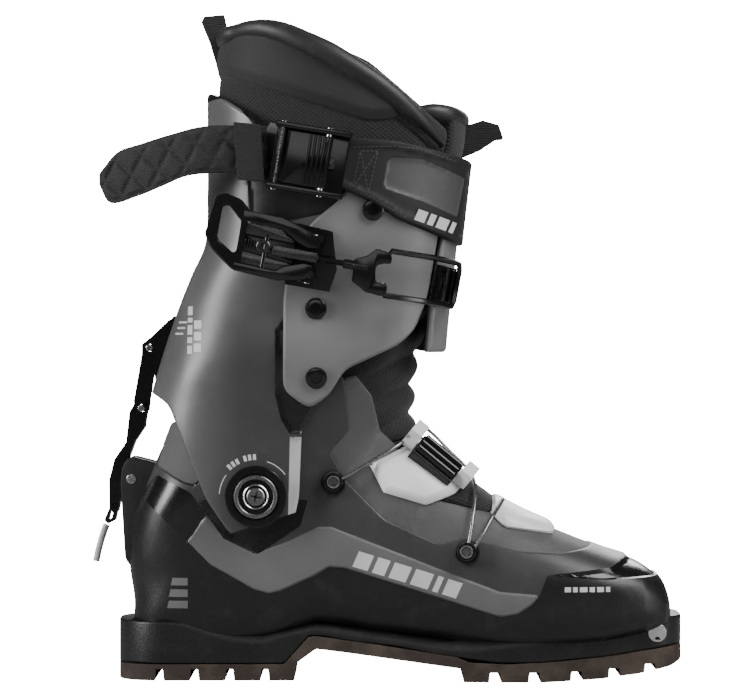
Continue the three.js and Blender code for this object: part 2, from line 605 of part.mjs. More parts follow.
// ---------- walk latch ----------
const BRACKET_IN = 5;
const BRACKET_OUT = 7.6;
const LATCH_PIN_R = 1.8;
const latchRod = (where, r, half = 12) => disc(...where, r, -half, half, 16);
const bracketOutline = outline([-40, 193], [-48, 188.6], [-57, 180], [-62, 176], [-62, 171], [-57, 168],
  [-53, 150], [-45, 150]);
const bracketEars = [-1, 1].map((side) => prism(
  bracketOutline, ...(side < 0 ? [-BRACKET_OUT, -BRACKET_IN] : [BRACKET_IN, BRACKET_OUT])));
const bracketBase = cuffLayer(SEAT + 1.8).intersect(prism(outline([-80, 166], [-80, 191], [-30, 191],
  [-30, 166]), -BRACKET_OUT, BRACKET_OUT));
place(cuffBody, "latch_bracket",
  cut(join(bracketBase, ...bracketEars), cuffLayer(SEAT), latchRod(LATCH_TOP, LATCH_PIN_R + SEAT)),
  "blackMetal");
place(cuffBody, "latch_pin_top", latchRod(LATCH_TOP, LATCH_PIN_R, BRACKET_OUT + 0.4), "steel");

const linkBody = group(cuffBody, LATCH_TOP[0], 0, LATCH_TOP[1]);
const LINK_HALF = BRACKET_IN - RUN;
const link = prism(outline([-55.3, 175.8], [-58.5, 177.6], [-61.4, 175.4], [-66.5, 146], [-66.2, 140.6],
  [-62, 138.4], [-58.4, 141], [-57.8, 147], [-54.6, 168]), -LINK_HALF, LINK_HALF);
place(linkBody, "walk_link",
  cut(link, latchRod(LATCH_TOP, LATCH_PIN_R + SEAT), latchRod(LATCH_MIDDLE, LATCH_PIN_R + SEAT)),
  "blackMetal");
place(linkBody, "latch_pin_middle", latchRod(LATCH_MIDDLE, LATCH_PIN_R, EAR_GAP - 0.7), "steel");

const leverBody = group(linkBody, LATCH_MIDDLE[0], 0, LATCH_MIDDLE[1]);
const LEVER_HALF = EAR_GAP - 0.6;
const LEVER_END = at(-76.2, 90.5); // hole for the pull ring
const lever = prism(outline([-58.9, 143], [-61.5, 145.8], [-66, 144.5], [-68.6, 140], [-70.4, 124],
  [-76.6, 115], [-79.4, 104], [-79.2, 89], [-77.5, 86.6], [-74.8, 87], [-73.4, 94], [-71, 99.5],
  [-70.9, 110.5], [-65.6, 124.5], [-60.6, 132]), -LEVER_HALF, LEVER_HALF);
const forkRoom = prism(outline([-50, 131], [-69.6, 131], [-69.6, 160], [-50, 160]),
  -LINK_HALF - RUN, LINK_HALF + RUN);
place(leverBody, "walk_lever", cut(lever, forkRoom, latchRod(LATCH_MIDDLE, LATCH_PIN_R + SEAT),
  block(LEVER_END[0] - 14, LEVER_END[0] + 14, -LEVER_HALF + 2.6, LEVER_HALF - 2.6, LEVER_END[1] - 20,
    LEVER_END[1] + 4.4),
  latchRod(LEVER_END, 1.2 + SEAT)), "blackMetal");

const ringBody = group(leverBody, LEVER_END[0], 0, LEVER_END[1]);
const [RX, RZ] = LEVER_END;
const ring = cut(
  prism([[RX - 2, RZ + 1.6], [RX + 1.6, RZ + 1.6], [RX + 1.6, RZ - 1], [RX, RZ - 8], [RX - 4, RZ - 10],
    [RX - 6, RZ - 8]], -4.4, 4.4),
  prism([[RX - 2.2, RZ - 2], [RX - 0.8, RZ - 2], [RX - 2, RZ - 7], [RX - 3.6, RZ - 7.6]], -9, 9));
place(ringBody, "pull_ring", join(cut(ring, block(RX - 8, RX + 4, -2.6, 2.6, RZ - 1.9, RZ + 4)),
  latchRod(LEVER_END, 1.2, 7)), "blackMetal");
place(ringBody, "pull_cord",
  wire([[RX - 5, 0, RZ - 10.4], [RX - 6.4, 0, RZ - 14], [RX - 8.8, 0, RZ - 22], [RX - 10.6, 0, RZ - 30]],
    1.85, 6, 10), "softGrey");

// ---------- cuff buckle ----------
// Its pieces are made round the lever's pivot: u towards the toe, v away from the boot, w up the pivot.
const BUCKLE = at(28.8, 219.7);
const buckleSeat = cuffShape.seat(...BUCKLE, -1, FLAP_OUT);
const BUCKLE_STANDOFF = 6.2; // the pivot above the flap
const BUCKLE_PIVOT = [BUCKLE[0], buckleSeat.point.y - BUCKLE_STANDOFF, BUCKLE[1]];
const buckleTilt = THREE.MathUtils.degToRad(10.5);
const buckleFrame = new THREE.Matrix4().makeBasis(
  new THREE.Vector3(Math.cos(buckleTilt), 0, -Math.sin(buckleTilt)),
  new THREE.Vector3(0, -1, 0),
  new THREE.Vector3(Math.sin(buckleTilt), 0, Math.cos(buckleTilt)));
buckleFrame.setPosition(...BUCKLE_PIVOT);
const turned = (made, frame) => {
  const geometry = geometryOf(made).applyMatrix4(frame);
  if (frame.determinant() < 0) {
    const index = geometry.index.array;
    for (let i = 0; i < index.length; i += 3) [index[i + 1], index[i + 2]] = [index[i + 2], index[i + 1]];
  }
  return solid(geometry);
};
const inBuckle = (made) => turned(made, buckleFrame);
const PIVOT_PIN_R = 1.6;
const ROD_BACK = -24; // the rod's hinge, behind the pivot
const pinAt = (u, v, r, w0, w1) => bar([u, v, w0], [u, v, w1], r, 14);

const baseLayer = cut(cuffLayer(FLAP_OUT + SEAT + 1.8), cuffLayer(FLAP_OUT + SEAT));
const basePlate = baseLayer.intersect(prism(outline([19, 239], [40, 234], [42, 214], [38, 203], [15, 207]),
  -120, 0));
const baseLugs = [-1, 1].map((side) => inBuckle(prism(
  side < 0 ? [[-4, -12.4], [4, -12.4], [4, -9.4], [-4, -9.4]] : [[-4, 9.4], [4, 9.4], [4, 12.4], [-4, 12.4]],
  -BUCKLE_STANDOFF - 3, 3)));
const pivotPinHoles = inBuckle(pinAt(0, 0, PIVOT_PIN_R + SEAT, -16, 16));
place(cuffBody, "buckle_base", cut(join(basePlate, ...baseLugs), cuffLayer(FLAP_OUT + SEAT), pivotPinHoles),
  "blackMetal");
[-1, 1].forEach((side) => place(cuffBody, `buckle_pin_${side < 0 ? "lower" : "upper"}`,
  inBuckle(pinAt(0, 0, PIVOT_PIN_R, side * 6.6, side * 12.8)), "steel"));

const buckleBody = group(cuffBody, ...BUCKLE_PIVOT);
const leverOuter = [[-0.5, -9], [-0.5, 9], [-7, 9], [-12, 15.5], [-35, 18], [-41, 23.6], [-49, 25.4],
  [-53.8, 22], [-56, 2.7], [-51.7, -4], [-39, -13], [-34, -14.4], [-12, -14], [-7, -9]];
const leverWindow = [[-39.7, -4.6], [-39.7, 13.2], [-46.2, 19.2], [-49.4, 18], [-49.2, 2]];
const rodSlot = [[6, -6.2], [6, 6.2], [-29, 6.2], [-29, -6.2]];
const ROD_PIN_R = 1.4;
const buckleLever = join(
  cut(prism(leverOuter, -1.2, 3.6), prism(leverWindow, -9, 9), prism(rodSlot, -9, 9)),
  ...[-1, 1].map((side) => pinAt(0, 0, 3.2, side * 6.4, side * 9)));
place(buckleBody, "buckle_lever", inBuckle(cut(buckleLever, pinAt(0, 0, PIVOT_PIN_R + SEAT, -20, 20),
  pinAt(ROD_BACK, 1.2, ROD_PIN_R + SEAT, -9.4, 9.4))), "blackMetal");
place(buckleBody, "rod_pin", inBuckle(pinAt(ROD_BACK, 1.2, ROD_PIN_R, -9, 9)), "steel");

const ROD_PIVOT = new THREE.Vector3(ROD_BACK, 1.2, 0).applyMatrix4(buckleFrame);
const rodBody = group(buckleBody, ...ROD_PIVOT.toArray());
const BAIL_U = 39; // the wire bail's hinge, in front of the pivot
const BAIL_R = 1.5;
const BAIL_HALF = 11.5;
const BAIL_PIVOT = new THREE.Vector3(BAIL_U, 1.2, 0).applyMatrix4(buckleFrame);
const bailBody = group(rodBody, ...BAIL_PIVOT.toArray());
const across = new THREE.Vector3(Math.sin(buckleTilt), 0, Math.cos(buckleTilt));
const hook = new THREE.Vector3(104.5 * along, -33, BAIL_PIVOT.z - 6);
const armAt = (share, w, bulge) => {
  const p = BAIL_PIVOT.clone().lerp(hook, share).addScaledVector(across, w);
  p.x += bulge * 0.6;
  p.y -= bulge * 0.8;
  return p.toArray();
};
const arm = (side, shares) => shares.map(([share, bulge]) => armAt(share, side * BAIL_HALF, bulge));
const ARM = [[0, 0], [0.25, 3.2], [0.5, 5], [0.75, 4], [0.96, 0.8]];
const bailRoute = [armAt(0, 5.2, 0), armAt(0, BAIL_HALF - 1.5, 0), ...arm(1, ARM),
  armAt(1, BAIL_HALF - 2, 0), armAt(1, 0, 0), armAt(1, -BAIL_HALF + 2, 0), ...arm(-1, [...ARM].reverse()),
  armAt(0, -BAIL_HALF + 1.5, 0), armAt(0, -5.2, 0)];
const rod = cut(join(
  block(ROD_BACK - 2.8, 0, -1.2, 3.6, -4.6, 4.6),
  bar([-2, 1.2, 0], [30, 1.2, 0], 1.9, 12),
  bar([22, 1.2, 0], [34, 1.2, 0], 3, 12),
  block(30, 34, -1.6, 4, -10, 10),
  ...[-1, 1].map((side) => block(30, BAIL_U + 3, -1.6, 4, side < 0 ? -10 : 5.5, side < 0 ? -5.5 : 10))),
pinAt(ROD_BACK, 1.2, ROD_PIN_R + SEAT, -9, 9), pinAt(BAIL_U, 1.2, BAIL_R + RUN + 0.35, -14, 14));
place(rodBody, "buckle_rod", cut(inBuckle(rod), wire(bailRoute, BAIL_R + RUN, 34, 6, 0.3)), "blackMetal");

place(bailBody, "buckle_bail", wire(bailRoute, BAIL_R, 34, 6, 0.3), "blackMetal");

const RACK = cuffShape.seat(...at(97, 207), -1, FLAP_OUT);
const upAcross = across.clone().addScaledVector(RACK.normal, -across.dot(RACK.normal)).normalize();
const rackFrame = new THREE.Matrix4().makeBasis(
  upAcross.clone().cross(RACK.normal).normalize(), upAcross, RACK.normal);
rackFrame.setPosition(RACK.point);
const rackTeeth = [-7, -1.5, 4].map((u) => block(u, u + 2.4, -8.5, 8.5, 1, 6));
place(cuffBody, "buckle_rack", cut(
  turned(join(block(-9, 9, -10, 10, -4, 2.2), ...rackTeeth), rackFrame),
  cuffLayer(FLAP_OUT + SEAT), wire(bailRoute, BAIL_R + 0.8, 34, 6, 0.3)), "blackMetal");

// ---------- power strap ----------
const STRAP_IN = FLAP_OUT + SEAT + 0.1;
const STRAP_OUT = STRAP_IN + STRAP_WALL;
const strapLayer = cut(cuffLayer(STRAP_OUT), cuffLayer(STRAP_IN));
const strapOuter = prism(outline([40, 283], [73, 281], [111.4, 272.7], [130, 268], [130, 230], [104.5, 235],
  [75, 243], [60, 251], [40, 258]), -120, 0);
const strapInner = prism(outline([-8, 281], [40, 283], [73, 281], [111.4, 272.7], [130, 268], [130, 230],
  [104.5, 235], [75, 243], [60, 251], [40, 254], [-8, 252]), 0, 120);
place(cuffBody, "power_strap", strapLayer.intersect(join(strapOuter, strapInner)), "strap");

const STRAP_BUCKLE = at(28, 270.5);
const strapSeat = cuffShape.seat(...STRAP_BUCKLE, -1, STRAP_OUT);
const strapTilt = buckleTilt * 0.9;
const strapFrame = new THREE.Matrix4().makeBasis(
  new THREE.Vector3(Math.cos(strapTilt), 0, -Math.sin(strapTilt)),
  new THREE.Vector3(0, -1, 0),
  new THREE.Vector3(Math.sin(strapTilt), 0, Math.cos(strapTilt)));
strapFrame.setPosition(STRAP_BUCKLE[0], strapSeat.point.y - 1.4, STRAP_BUCKLE[1]);
const inStrap = (made) => turned(made, strapFrame);
const CAM_U = 8;
const CAM_PIN_R = 1.5;
const camPinHole = pinAt(CAM_U, 3.2, CAM_PIN_R + SEAT, -17, 17);
const strapBuckle = cut(join(
  block(-19, 19, -1, 0.8, -15.5, 15.5),
  ...[-1, 1].map((side) => block(-20, 20, -1, 5.8, side < 0 ? -17.5 : 14.5, side < 0 ? -14.5 : 17.5)),
  block(-18, -14, 0, 4.6, -15, 15)), camPinHole, block(3, 13.5, -3, 3, -14.2, 14.2));
place(cuffBody, "strap_buckle", cut(inStrap(strapBuckle), cuffLayer(STRAP_OUT + SEAT)), "blackMetal");
const camBody = group(cuffBody, ...new THREE.Vector3(CAM_U, 3.2, 0).applyMatrix4(strapFrame).toArray());
const camRibs = [0, 2.6, 5.2].map((u) => block(u - 11, u - 9.6, 4.4, 6, -13, 13));
place(camBody, "strap_cam", inStrap(join(
  cut(block(-12.4, CAM_U + 2.4, 1.4, 4.8, -13.9, 13.9), block(-30, -3, -1, 2.6, -20, 20)), ...camRibs,
  pinAt(CAM_U, 3.2, CAM_PIN_R, -17, 17))), "blackMetal");

// The strap's end leaves the cuff behind the buckle. Each row is [x, how far in it lies, low z, high z].
const tailY = strapSeat.point.y - 0.2;
const tailRows = [[6, 0.2, 261.5, 284.8], [-5, -0.4, 262.2, 287.4], [-17, 0.2, 262.8, 287.8],
  [-28, 2, 262.6, 287], [-41, 5, 259.6, 284.6], [-54, 9, 255.6, 281], [-66, 14, 251.8, 277.4],
  [-76, 18.6, 249.4, 272.6], [-82, 21.6, 251, 262.5],
].map(([x, inward, low, high]) => ({
  low: [x * along, tailY + inward, low * upward],
  high: [x * along, tailY + inward, high * upward],
}));
tailRows.forEach((row, i) => {
  const [before, after] = [tailRows[Math.max(0, i - 1)], tailRows[Math.min(tailRows.length - 1, i + 1)]];
  const run = new THREE.Vector2(after.low[0] - before.low[0], after.low[1] - before.low[1]).normalize();
  row.out = [-run.y, run.x, 0];
});
place(cuffBody, "strap_tail", ribbon(tailRows, -STRAP_WALL), "strap");
const keeperSide = (longer, grow) => prism(
  outline([-9 - longer, 262.5 - grow], [-11 - longer, 288.4 + grow], [3 + longer, 287 + grow],
    [5 + longer, 261.4 - grow]),
  tailY - 1 - grow, tailY + STRAP_WALL + 0.8 + grow);
place(cuffBody, "strap_keeper", cut(keeperSide(0, 1.8), keeperSide(9, 0.4)), "strap");

// ---------- liner tongue and loops ----------
const tongueLayer = cut(linerShape.body(4, 10, 16), linerShape.body(0.4, 10, 16));
place(cuffBody, "liner_tongue", tongueLayer.intersect(prism(outline([90, 226], [90, 304], [140, 291],
  [140, 226]), -31, 31)), "liner");
// The pull loops are bands folded over, with their folds across the boot's length.
const LOOP_HALF = 8;
const LOOP_WALL = 1.6;
const folded = (points, room) => cut(prism(points, -LOOP_HALF, LOOP_HALF),
  prism(room, -LOOP_HALF + LOOP_WALL, LOOP_HALF - LOOP_WALL), linerShape.body(SEAT, 10, 16));
place(cuffBody, "tongue_loop", cut(
  folded(outline([100, 280], [103, 291.6], [113, 293], [119, 295], [127.5, 292.6], [130, 285.4], [126, 285],
    [118, 279.6], [108, 275.4]),
  outline([96, 270], [98, 291], [113, 291.4], [119, 293.4], [126.2, 291.4], [128, 283], [126, 281],
    [118, 276], [108, 270])),
  linerShape.body(4 + SEAT, 10, 16)), "strap");
place(cuffBody, "rear_loop", cut(
  folded(outline([-14, 330], [-18.4, 351], [-29, 350], [-30.4, 347], [-25.6, 335], [-20, 316], [-14, 316]),
    outline([-12, 330], [-16.8, 349.4], [-27.6, 348.4], [-34, 346], [-28, 334], [-24, 300], [-12, 300])),
  cuffLayer(0).intersect(block(-60, 0, -90, 90, 200, 309.6))), "strap");

// ---------- instep ----------
const PLATE_IN = -0.5;
const PLATE_OUT = PLATE_IN + PLATE_WALL;
const plateLayer = (out) => cut(foot.body(out, ROWS, COLUMNS), foot.body(PLATE_IN, ROWS, COLUMNS));
place(shellBody, "instep_plate", plateLayer(PLATE_OUT).intersect(prism(outline([60.2, 114.4], [67, 99.8],
  [89, 93.5], [111.5, 103], [124, 112], [104, 134], [88, 128], [76, 123]), -120, 10)), "plate");
place(shellBody, "toe_plate", plateLayer(PLATE_OUT + 0.6).intersect(prism(outline([123.1, 90], [126.3, 112],
  [140, 100], [158.8, 90], [159.8, 83.9], [154.6, 80.2], [130, 83.3]), -120, 4)), "plate");

const rackSeat = foot.seat(...at(93, 114), -1, PLATE_OUT);
const slope = new THREE.Vector3(0.75, 0, -0.66); // down the instep
const slopeAlong = slope.clone().addScaledVector(rackSeat.normal, -slope.dot(rackSeat.normal)).normalize();
const instepFrame = new THREE.Matrix4().makeBasis(
  slopeAlong, rackSeat.normal.clone().cross(slopeAlong).normalize(), rackSeat.normal);
instepFrame.setPosition(rackSeat.point);
const overPlate = foot.body(PLATE_OUT + SEAT, ROWS, COLUMNS);
const rollers = [-5, 0, 5].map((v) => bar([-12, v, 5.4], [12, v, 5.4], 2.1, 12));
place(shellBody, "instep_rack", cut(
  turned(join(block(-13, 13, -8, 8, -4, 4), ...rollers), instepFrame), overPlate), "blackMetal");

const onFoot = (x, z, grow) => {
  const { point, normal } = foot.seat(...at(x, z), -1, 0);
  return outFrom(point, normal, grow);
};
const CAP_U = 17; // the cable's caps, either way from the rack's middle
const capAt = [-CAP_U, CAP_U].map((u) => new THREE.Vector3(u, 2, 8.8).applyMatrix4(instepFrame));
const rearStud = outFrom(REAR_ANCHOR.point, REAR_ANCHOR.normal, 4);
const cableRoute = [
  [REAR_ANCHOR.point.x + 7.2, rearStud[1], REAR_ANCHOR.point.z + 4.6],
  onFoot(60, 114, 6), onFoot(72, 120, 7.4), capAt[0].toArray(),
  new THREE.Vector3(0, 2, 9.2).applyMatrix4(instepFrame).toArray(),
  capAt[1].toArray(), onFoot(112, 92, 6.4), onFoot(109.6, 78.4, 5.2)];
place(shellBody, "instep_cable", wire(cableRoute, CABLE_R, 36, 6, 0.4), "steel");
const cableRoom = wire(cableRoute, CABLE_R + SEAT + 0.1, 36, 6, 0.4);
capAt.forEach((p, i) => {
  const u = i ? CAP_U : -CAP_U;
  place(shellBody, `cable_guide_${i ? "front" : "rear"}`, cut(
    turned(block(u - 3.4, u + 3.4, -3.5, 7, -4, 10.8), instepFrame), overPlate, cableRoom), "plate");
});
[["rear", REAR_ANCHOR], ["front", FRONT_ANCHOR]].forEach(([name, { point, normal }]) => {
  const stud = join(bar(outFrom(point, normal, -SHELL_WALL + 0.5), outFrom(point, normal, 2), ANCHOR_R, 14),
    bar(outFrom(point, normal, 0.8), outFrom(point, normal, 2.6), 6.6, 20),
    bar(outFrom(point, normal, 2), outFrom(point, normal, 5.4), 4.2, 16));
  const aroundShank = cut(foot.body(0.4, ROWS, COLUMNS),
    bar(outFrom(point, normal, -9), outFrom(point, normal, 9), ANCHOR_R + 0.2));
  place(shellBody, `cable_anchor_${name}`, cut(stud, cableRoom, aroundShank), "blackMetal");
});
const toeCable = [onFoot(114.5, 74.4, 5.4), onFoot(120, 80, 5.6), onFoot(124.4, 85.6, 5.2)];
place(shellBody, "toe_cable",
  cut(wire(toeCable, CABLE_R, 10), foot.body(PLATE_OUT + 0.9, ROWS, COLUMNS)), "steel");

export default boot;
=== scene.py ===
"""A ski touring boot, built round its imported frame.

Shapes are worked out in millimetres, in the frame's own axes: +X to the toe, +Y to the inner side of
this right boot and +Z up, with the ground at 0 and the cuff's pivots straight above the origin.
Most pieces are skins of three lofts (foot, cuff and liner), trimmed by outlines in the side view.
"""
import json
import math

import bmesh
import bpy
import numpy as np
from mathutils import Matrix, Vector

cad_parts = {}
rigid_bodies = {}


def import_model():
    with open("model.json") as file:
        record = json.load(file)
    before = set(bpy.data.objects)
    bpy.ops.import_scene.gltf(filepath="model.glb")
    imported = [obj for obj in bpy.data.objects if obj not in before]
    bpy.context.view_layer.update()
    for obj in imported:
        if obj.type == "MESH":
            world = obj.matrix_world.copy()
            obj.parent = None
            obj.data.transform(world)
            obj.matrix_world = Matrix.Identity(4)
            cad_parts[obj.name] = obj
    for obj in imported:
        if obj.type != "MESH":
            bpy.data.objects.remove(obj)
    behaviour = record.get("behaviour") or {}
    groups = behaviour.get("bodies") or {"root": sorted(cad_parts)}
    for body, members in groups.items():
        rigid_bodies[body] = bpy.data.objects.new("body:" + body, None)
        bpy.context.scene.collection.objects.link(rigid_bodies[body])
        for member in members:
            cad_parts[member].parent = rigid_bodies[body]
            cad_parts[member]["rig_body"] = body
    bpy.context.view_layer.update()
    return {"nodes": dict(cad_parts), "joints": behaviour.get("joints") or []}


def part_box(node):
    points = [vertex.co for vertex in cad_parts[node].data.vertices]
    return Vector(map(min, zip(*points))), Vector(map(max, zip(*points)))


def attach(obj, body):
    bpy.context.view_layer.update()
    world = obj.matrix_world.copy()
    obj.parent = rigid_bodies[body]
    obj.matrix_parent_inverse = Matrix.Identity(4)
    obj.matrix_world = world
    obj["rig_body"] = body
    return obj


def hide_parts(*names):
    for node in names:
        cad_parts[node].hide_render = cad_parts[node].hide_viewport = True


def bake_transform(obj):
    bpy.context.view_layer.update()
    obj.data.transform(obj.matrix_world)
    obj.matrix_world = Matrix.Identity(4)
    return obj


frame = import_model()
JOINTS = {joint["name"]: joint for joint in frame["joints"]}
MM = 0.001


# ---------------------------------------------------------------- curves and lofts
def catmull(points, t):
    """A centripetal Catmull-Rom curve through the points, at t from 0 to 1 with an equal share for
    each stretch between two points."""
    p = np.asarray(points, float)
    p = np.vstack([2 * p[0] - p[1], p, 2 * p[-1] - p[-2]])
    place = np.clip(np.asarray(t, float), 0, 1) * (len(p) - 3)
    i = np.minimum(place.astype(int), len(p) - 4)
    w = (place - i)[:, None]
    a, b, c, d = p[i], p[i + 1], p[i + 2], p[i + 3]

    def step(q, r):
        return np.maximum(np.sum((r - q) ** 2, 1, keepdims=True) ** 0.25, 1e-4)

    ta, tb, tc = step(a, b), step(b, c), step(c, d)
    m1 = ((b - a) / ta - (c - a) / (ta + tb) + (c - b) / tb) * tb
    m2 = ((c - b) / tb - (d - b) / (tb + tc) + (d - c) / tc) * tb
    return (b + m1 * w + (3 * (c - b) - 2 * m1 - m2) * w**2 + (2 * (b - c) + m1 + m2) * w**3)


def power(value, exponent):
    """A power that keeps the sign of its value."""
    return np.sign(value) * np.abs(value) ** exponent


class Loft:
    """Stations of (front point, back point, half width), joined smoothly. A section is a superellipse:
    middle + reach * cos(a)^(2/p) along the line from back to front, and half * sin(a)^(2/p) across."""

    def __init__(self, stations, front_power, back_power):
        self.front = [s[0] for s in stations]
        self.back = [s[1] for s in stations]
        self.half = [(40.0 * i, s[2]) for i, s in enumerate(stations)]
        self.powers = (front_power, back_power)

    def at(self, u, a, grow=0.0):
        """Points at u along the stations and angle a round the section, from 0 at the front through
        a quarter turn on the inner side, moved out by grow."""
        f, b = catmull(self.front, u), catmull(self.back, u)
        w = catmull(self.half, u)[:, 1] + grow
        middle, reach = (f + b) / 2, (f - b) / 2
        reach = reach * (1 + np.broadcast_to(grow, w.shape) / np.linalg.norm(reach, axis=1))[:, None]
        c, s = np.cos(a), np.sin(a)
        e = 2 / np.where(c > 0, *self.powers)
        flat = middle + reach * power(c, e)[:, None]
        return np.stack([flat[:, 0], w * power(s, e), flat[:, 1]], 1)

    def angles(self, count, start=-math.pi, end=math.pi):
        """Angles from start to end that lie evenly round a middling section."""
        a = np.linspace(start, end, 4001)
        p = self.at(np.full(a.shape, 0.6), a)
        run = np.concatenate([[0], np.cumsum(np.linalg.norm(np.diff(p, axis=0), axis=1))])
        return np.interp(np.linspace(0, run[-1], count), run, a)

    def normal(self, u, a, grow=0.0):
        """The outward direction, from the cross product of small steps along and round."""
        e = 1e-4
        along = self.at(np.minimum(u + e, 1), a, grow) - self.at(np.maximum(u - e, 0), a, grow)
        round_ = self.at(u, a + e, grow) - self.at(u, a - e, grow)
        n = np.cross(round_, along)
        n /= np.maximum(np.linalg.norm(n, axis=1, keepdims=True), 1e-9)
        out = self.at(u, a, grow + 1.0) - self.at(u, a, grow)
        return n * np.sign(np.sum(n * out, 1, keepdims=True))


# Half widths: of the shell at the ball and at the pivots, and of the cuff at the calf.
BALL, ANKLE, CALF = 53.0, 43.5, 58.0
# Walls, and how far the flaps, the power strap and the two plates stand out from the loft they follow.
SHELL_WALL, CUFF_WALL, FLAP_WALL, LINER_WALL, CLOTH_WALL = 3.4, 3.2, 2.6, 6.0, 2.4
FLAP_OUT, STRAP_OUT, INSTEP_OUT, TOE_OUT = 2.9, 5.4, 2.7, 3.3
PAINT = 0.02  # a painted mark above its surface
STRIPE_RISE = 0.7
PIVOT_Z = 97.0

FOOT = Loft([
    ((217.5, 41), (218, 31), BALL * 0.3),
    ((216.5, 45), (217, 27), BALL * 0.5),
    ((213, 53), (214, 24.5), BALL * 0.66),
    ((202, 62), (204, 22), BALL * 0.82),
    ((182, 69), (184, 17.5), BALL * 0.95),
    ((159, 78), (158, 13.5), BALL),
    ((136, 88), (131, 11), BALL * 0.97),
    ((115, 101), (100, 15), BALL * 0.9),
    ((101, 114), (64, 20.5), ANKLE * 1.02),
    ((90, 125), (31, 25), ANKLE * 0.99),
    ((82, 134), (0, 15), ANKLE * 0.96),
    ((82, 144), (-40, 11), ANKLE * 0.93),
    ((85, 152), (-64, 20), ANKLE * 0.92),
    ((89, 160), (-66, 42), ANKLE * 0.94),
    ((93, 168), (-68.5, 61), ANKLE * 0.97),
    ((97, 176), (-66.5, 82), ANKLE),
    ((101, 186), (-58, 105), ANKLE),
    ((104, 196), (-50, 125), ANKLE * 0.985),
    ((106, 206), (-44, 142), ANKLE * 0.97),
    ((108, 216), (-40, 160), ANKLE * 0.96),
], 2.6, 3.2)
CUFF = Loft([
    ((92, 112), (-68, 60), ANKLE + 6.5),
    ((94, 140), (-65, 105), ANKLE + 6.8),
    ((96, 163), (-58.5, 143), ANKLE + 8.5),
    ((97.5, 180), (-52.5, 165), ANKLE + 10.5),
    ((99.5, 200), (-43, 194), CALF - 5.5),
    ((101.5, 217), (-35.5, 213), CALF - 3.5),
    ((103, 232), (-28.5, 229), CALF - 2.2),
    ((106, 258), (-27.2, 258), CALF - 0.8),
    ((109, 285), (-27.2, 290), CALF),
    ((111, 305), (-27.2, 318), CALF),
], 2.5, 2.7)
LINER = Loft([
    ((84, 112), (-55, 72), ANKLE - 7),
    ((82, 140), (-50, 108), ANKLE - 6.5),
    ((83, 162), (-38.5, 142), ANKLE - 5.5),
    ((89, 190), (-36.5, 178), CALF - 12.5),
    ((94, 215), (-29, 210), CALF - 9),
    ((98, 245), (-22, 245), CALF - 7),
    ((102, 268), (-21.5, 285), CALF - 6),
    ((106, 285), (-20.5, 318), CALF - 5.5),
    ((106, 322), (-13, 364), CALF - 7),
], 2.3, 2.4)


SEAT_BLOCK = 200  # places looked up at once, which keeps the table of distances small


def seats(loft, places, side=-1, grow=0.0):
    """The points and outward directions of the surface that shows at each (x, z) from one side: the
    nearest of a grid, then Newton steps on small differences."""
    want = np.asarray(places, float)
    u, a = np.meshgrid(np.linspace(0, 1, 81), np.linspace(0.02, math.pi - 0.02, 121))
    u, a = u.ravel(), a.ravel()
    seen = loft.at(u, a, grow)[:, [0, 2]]
    near = np.concatenate([np.argmin(np.sum((seen - part[:, None]) ** 2, 2), 1)
                           for part in np.array_split(want, len(want) // SEAT_BLOCK + 1)])
    u, a = u[near], a[near]
    e = 1e-4
    for _ in range(8):
        here = loft.at(u, a, grow)[:, [0, 2]]
        du = (loft.at(u + e, a, grow)[:, [0, 2]] - here) / e
        da = (loft.at(u, a + e, grow)[:, [0, 2]] - here) / e
        miss = want - here
        area = du[:, 0] * da[:, 1] - du[:, 1] * da[:, 0]
        area = np.where(np.abs(area) < 1e-3, 1e-3, area)
        u = np.clip(u + np.clip((miss[:, 0] * da[:, 1] - miss[:, 1] * da[:, 0]) / area, -0.02, 0.02), 0,
                    0.999)
        a = np.clip(a + np.clip((du[:, 0] * miss[:, 1] - du[:, 1] * miss[:, 0]) / area, -0.05, 0.05),
                    0.01, math.pi - 0.01)
    flip = np.array([1, side, 1])
    return loft.at(u, a, grow) * flip, loft.normal(u, a, grow) * flip


# ---------------------------------------------------------------- outlines in the side view
def arc_outline(points, corner=0.0, steps=5):
    """A closed outline whose corners are rounded by quadratic curves that start corner mm away."""
    p = np.asarray(points, float)
    if not corner:
        return p
    rows = []
    for before, here, after in zip(np.roll(p, 1, 0), p, np.roll(p, -1, 0)):
        reach_in, reach_out = before - here, after - here
        a = here + reach_in * min(0.45, corner / np.linalg.norm(reach_in))
        b = here + reach_out * min(0.45, corner / np.linalg.norm(reach_out))
        for t in np.linspace(0, 1, steps):
            rows.append((1 - t) ** 2 * a + 2 * t * (1 - t) * here + t**2 * b)
    return np.array(rows)


def inside(points, outline):
    """How far each (x, z) lies inside a closed outline; negative outside."""
    p = points[:, [0, 2]] if points.shape[1] == 3 else points
    a = np.asarray(outline, float)
    b = np.roll(a, -1, 0)
    run = b - a
    best = np.full(len(p), np.inf)
    crossings = np.zeros(len(p), int)
    for start, end, d in zip(a, b, run):
        t = np.clip(((p - start) @ d) / max(d @ d, 1e-12), 0, 1)
        best = np.minimum(best, np.sum((p - start - t[:, None] * d) ** 2, 1))
        spans = (start[1] > p[:, 1]) != (end[1] > p[:, 1])
        if d[1]:
            crossings += spans & (p[:, 0] < start[0] + (p[:, 1] - start[1]) / d[1] * d[0])
    return np.sqrt(best) * np.where(crossings % 2, 1, -1)


def from_line(points, line):
    """Distance of each (x, z) from an open line of points."""
    p = points[:, [0, 2]] if points.shape[1] == 3 else points
    a = np.asarray(line, float)
    best = np.full(len(p), np.inf)
    for start, end in zip(a[:-1], a[1:]):
        d = end - start
        t = np.clip(((p - start) @ d) / max(d @ d, 1e-12), 0, 1)
        best = np.minimum(best, np.sum((p - start - t[:, None] * d) ** 2, 1))
    return np.sqrt(best)


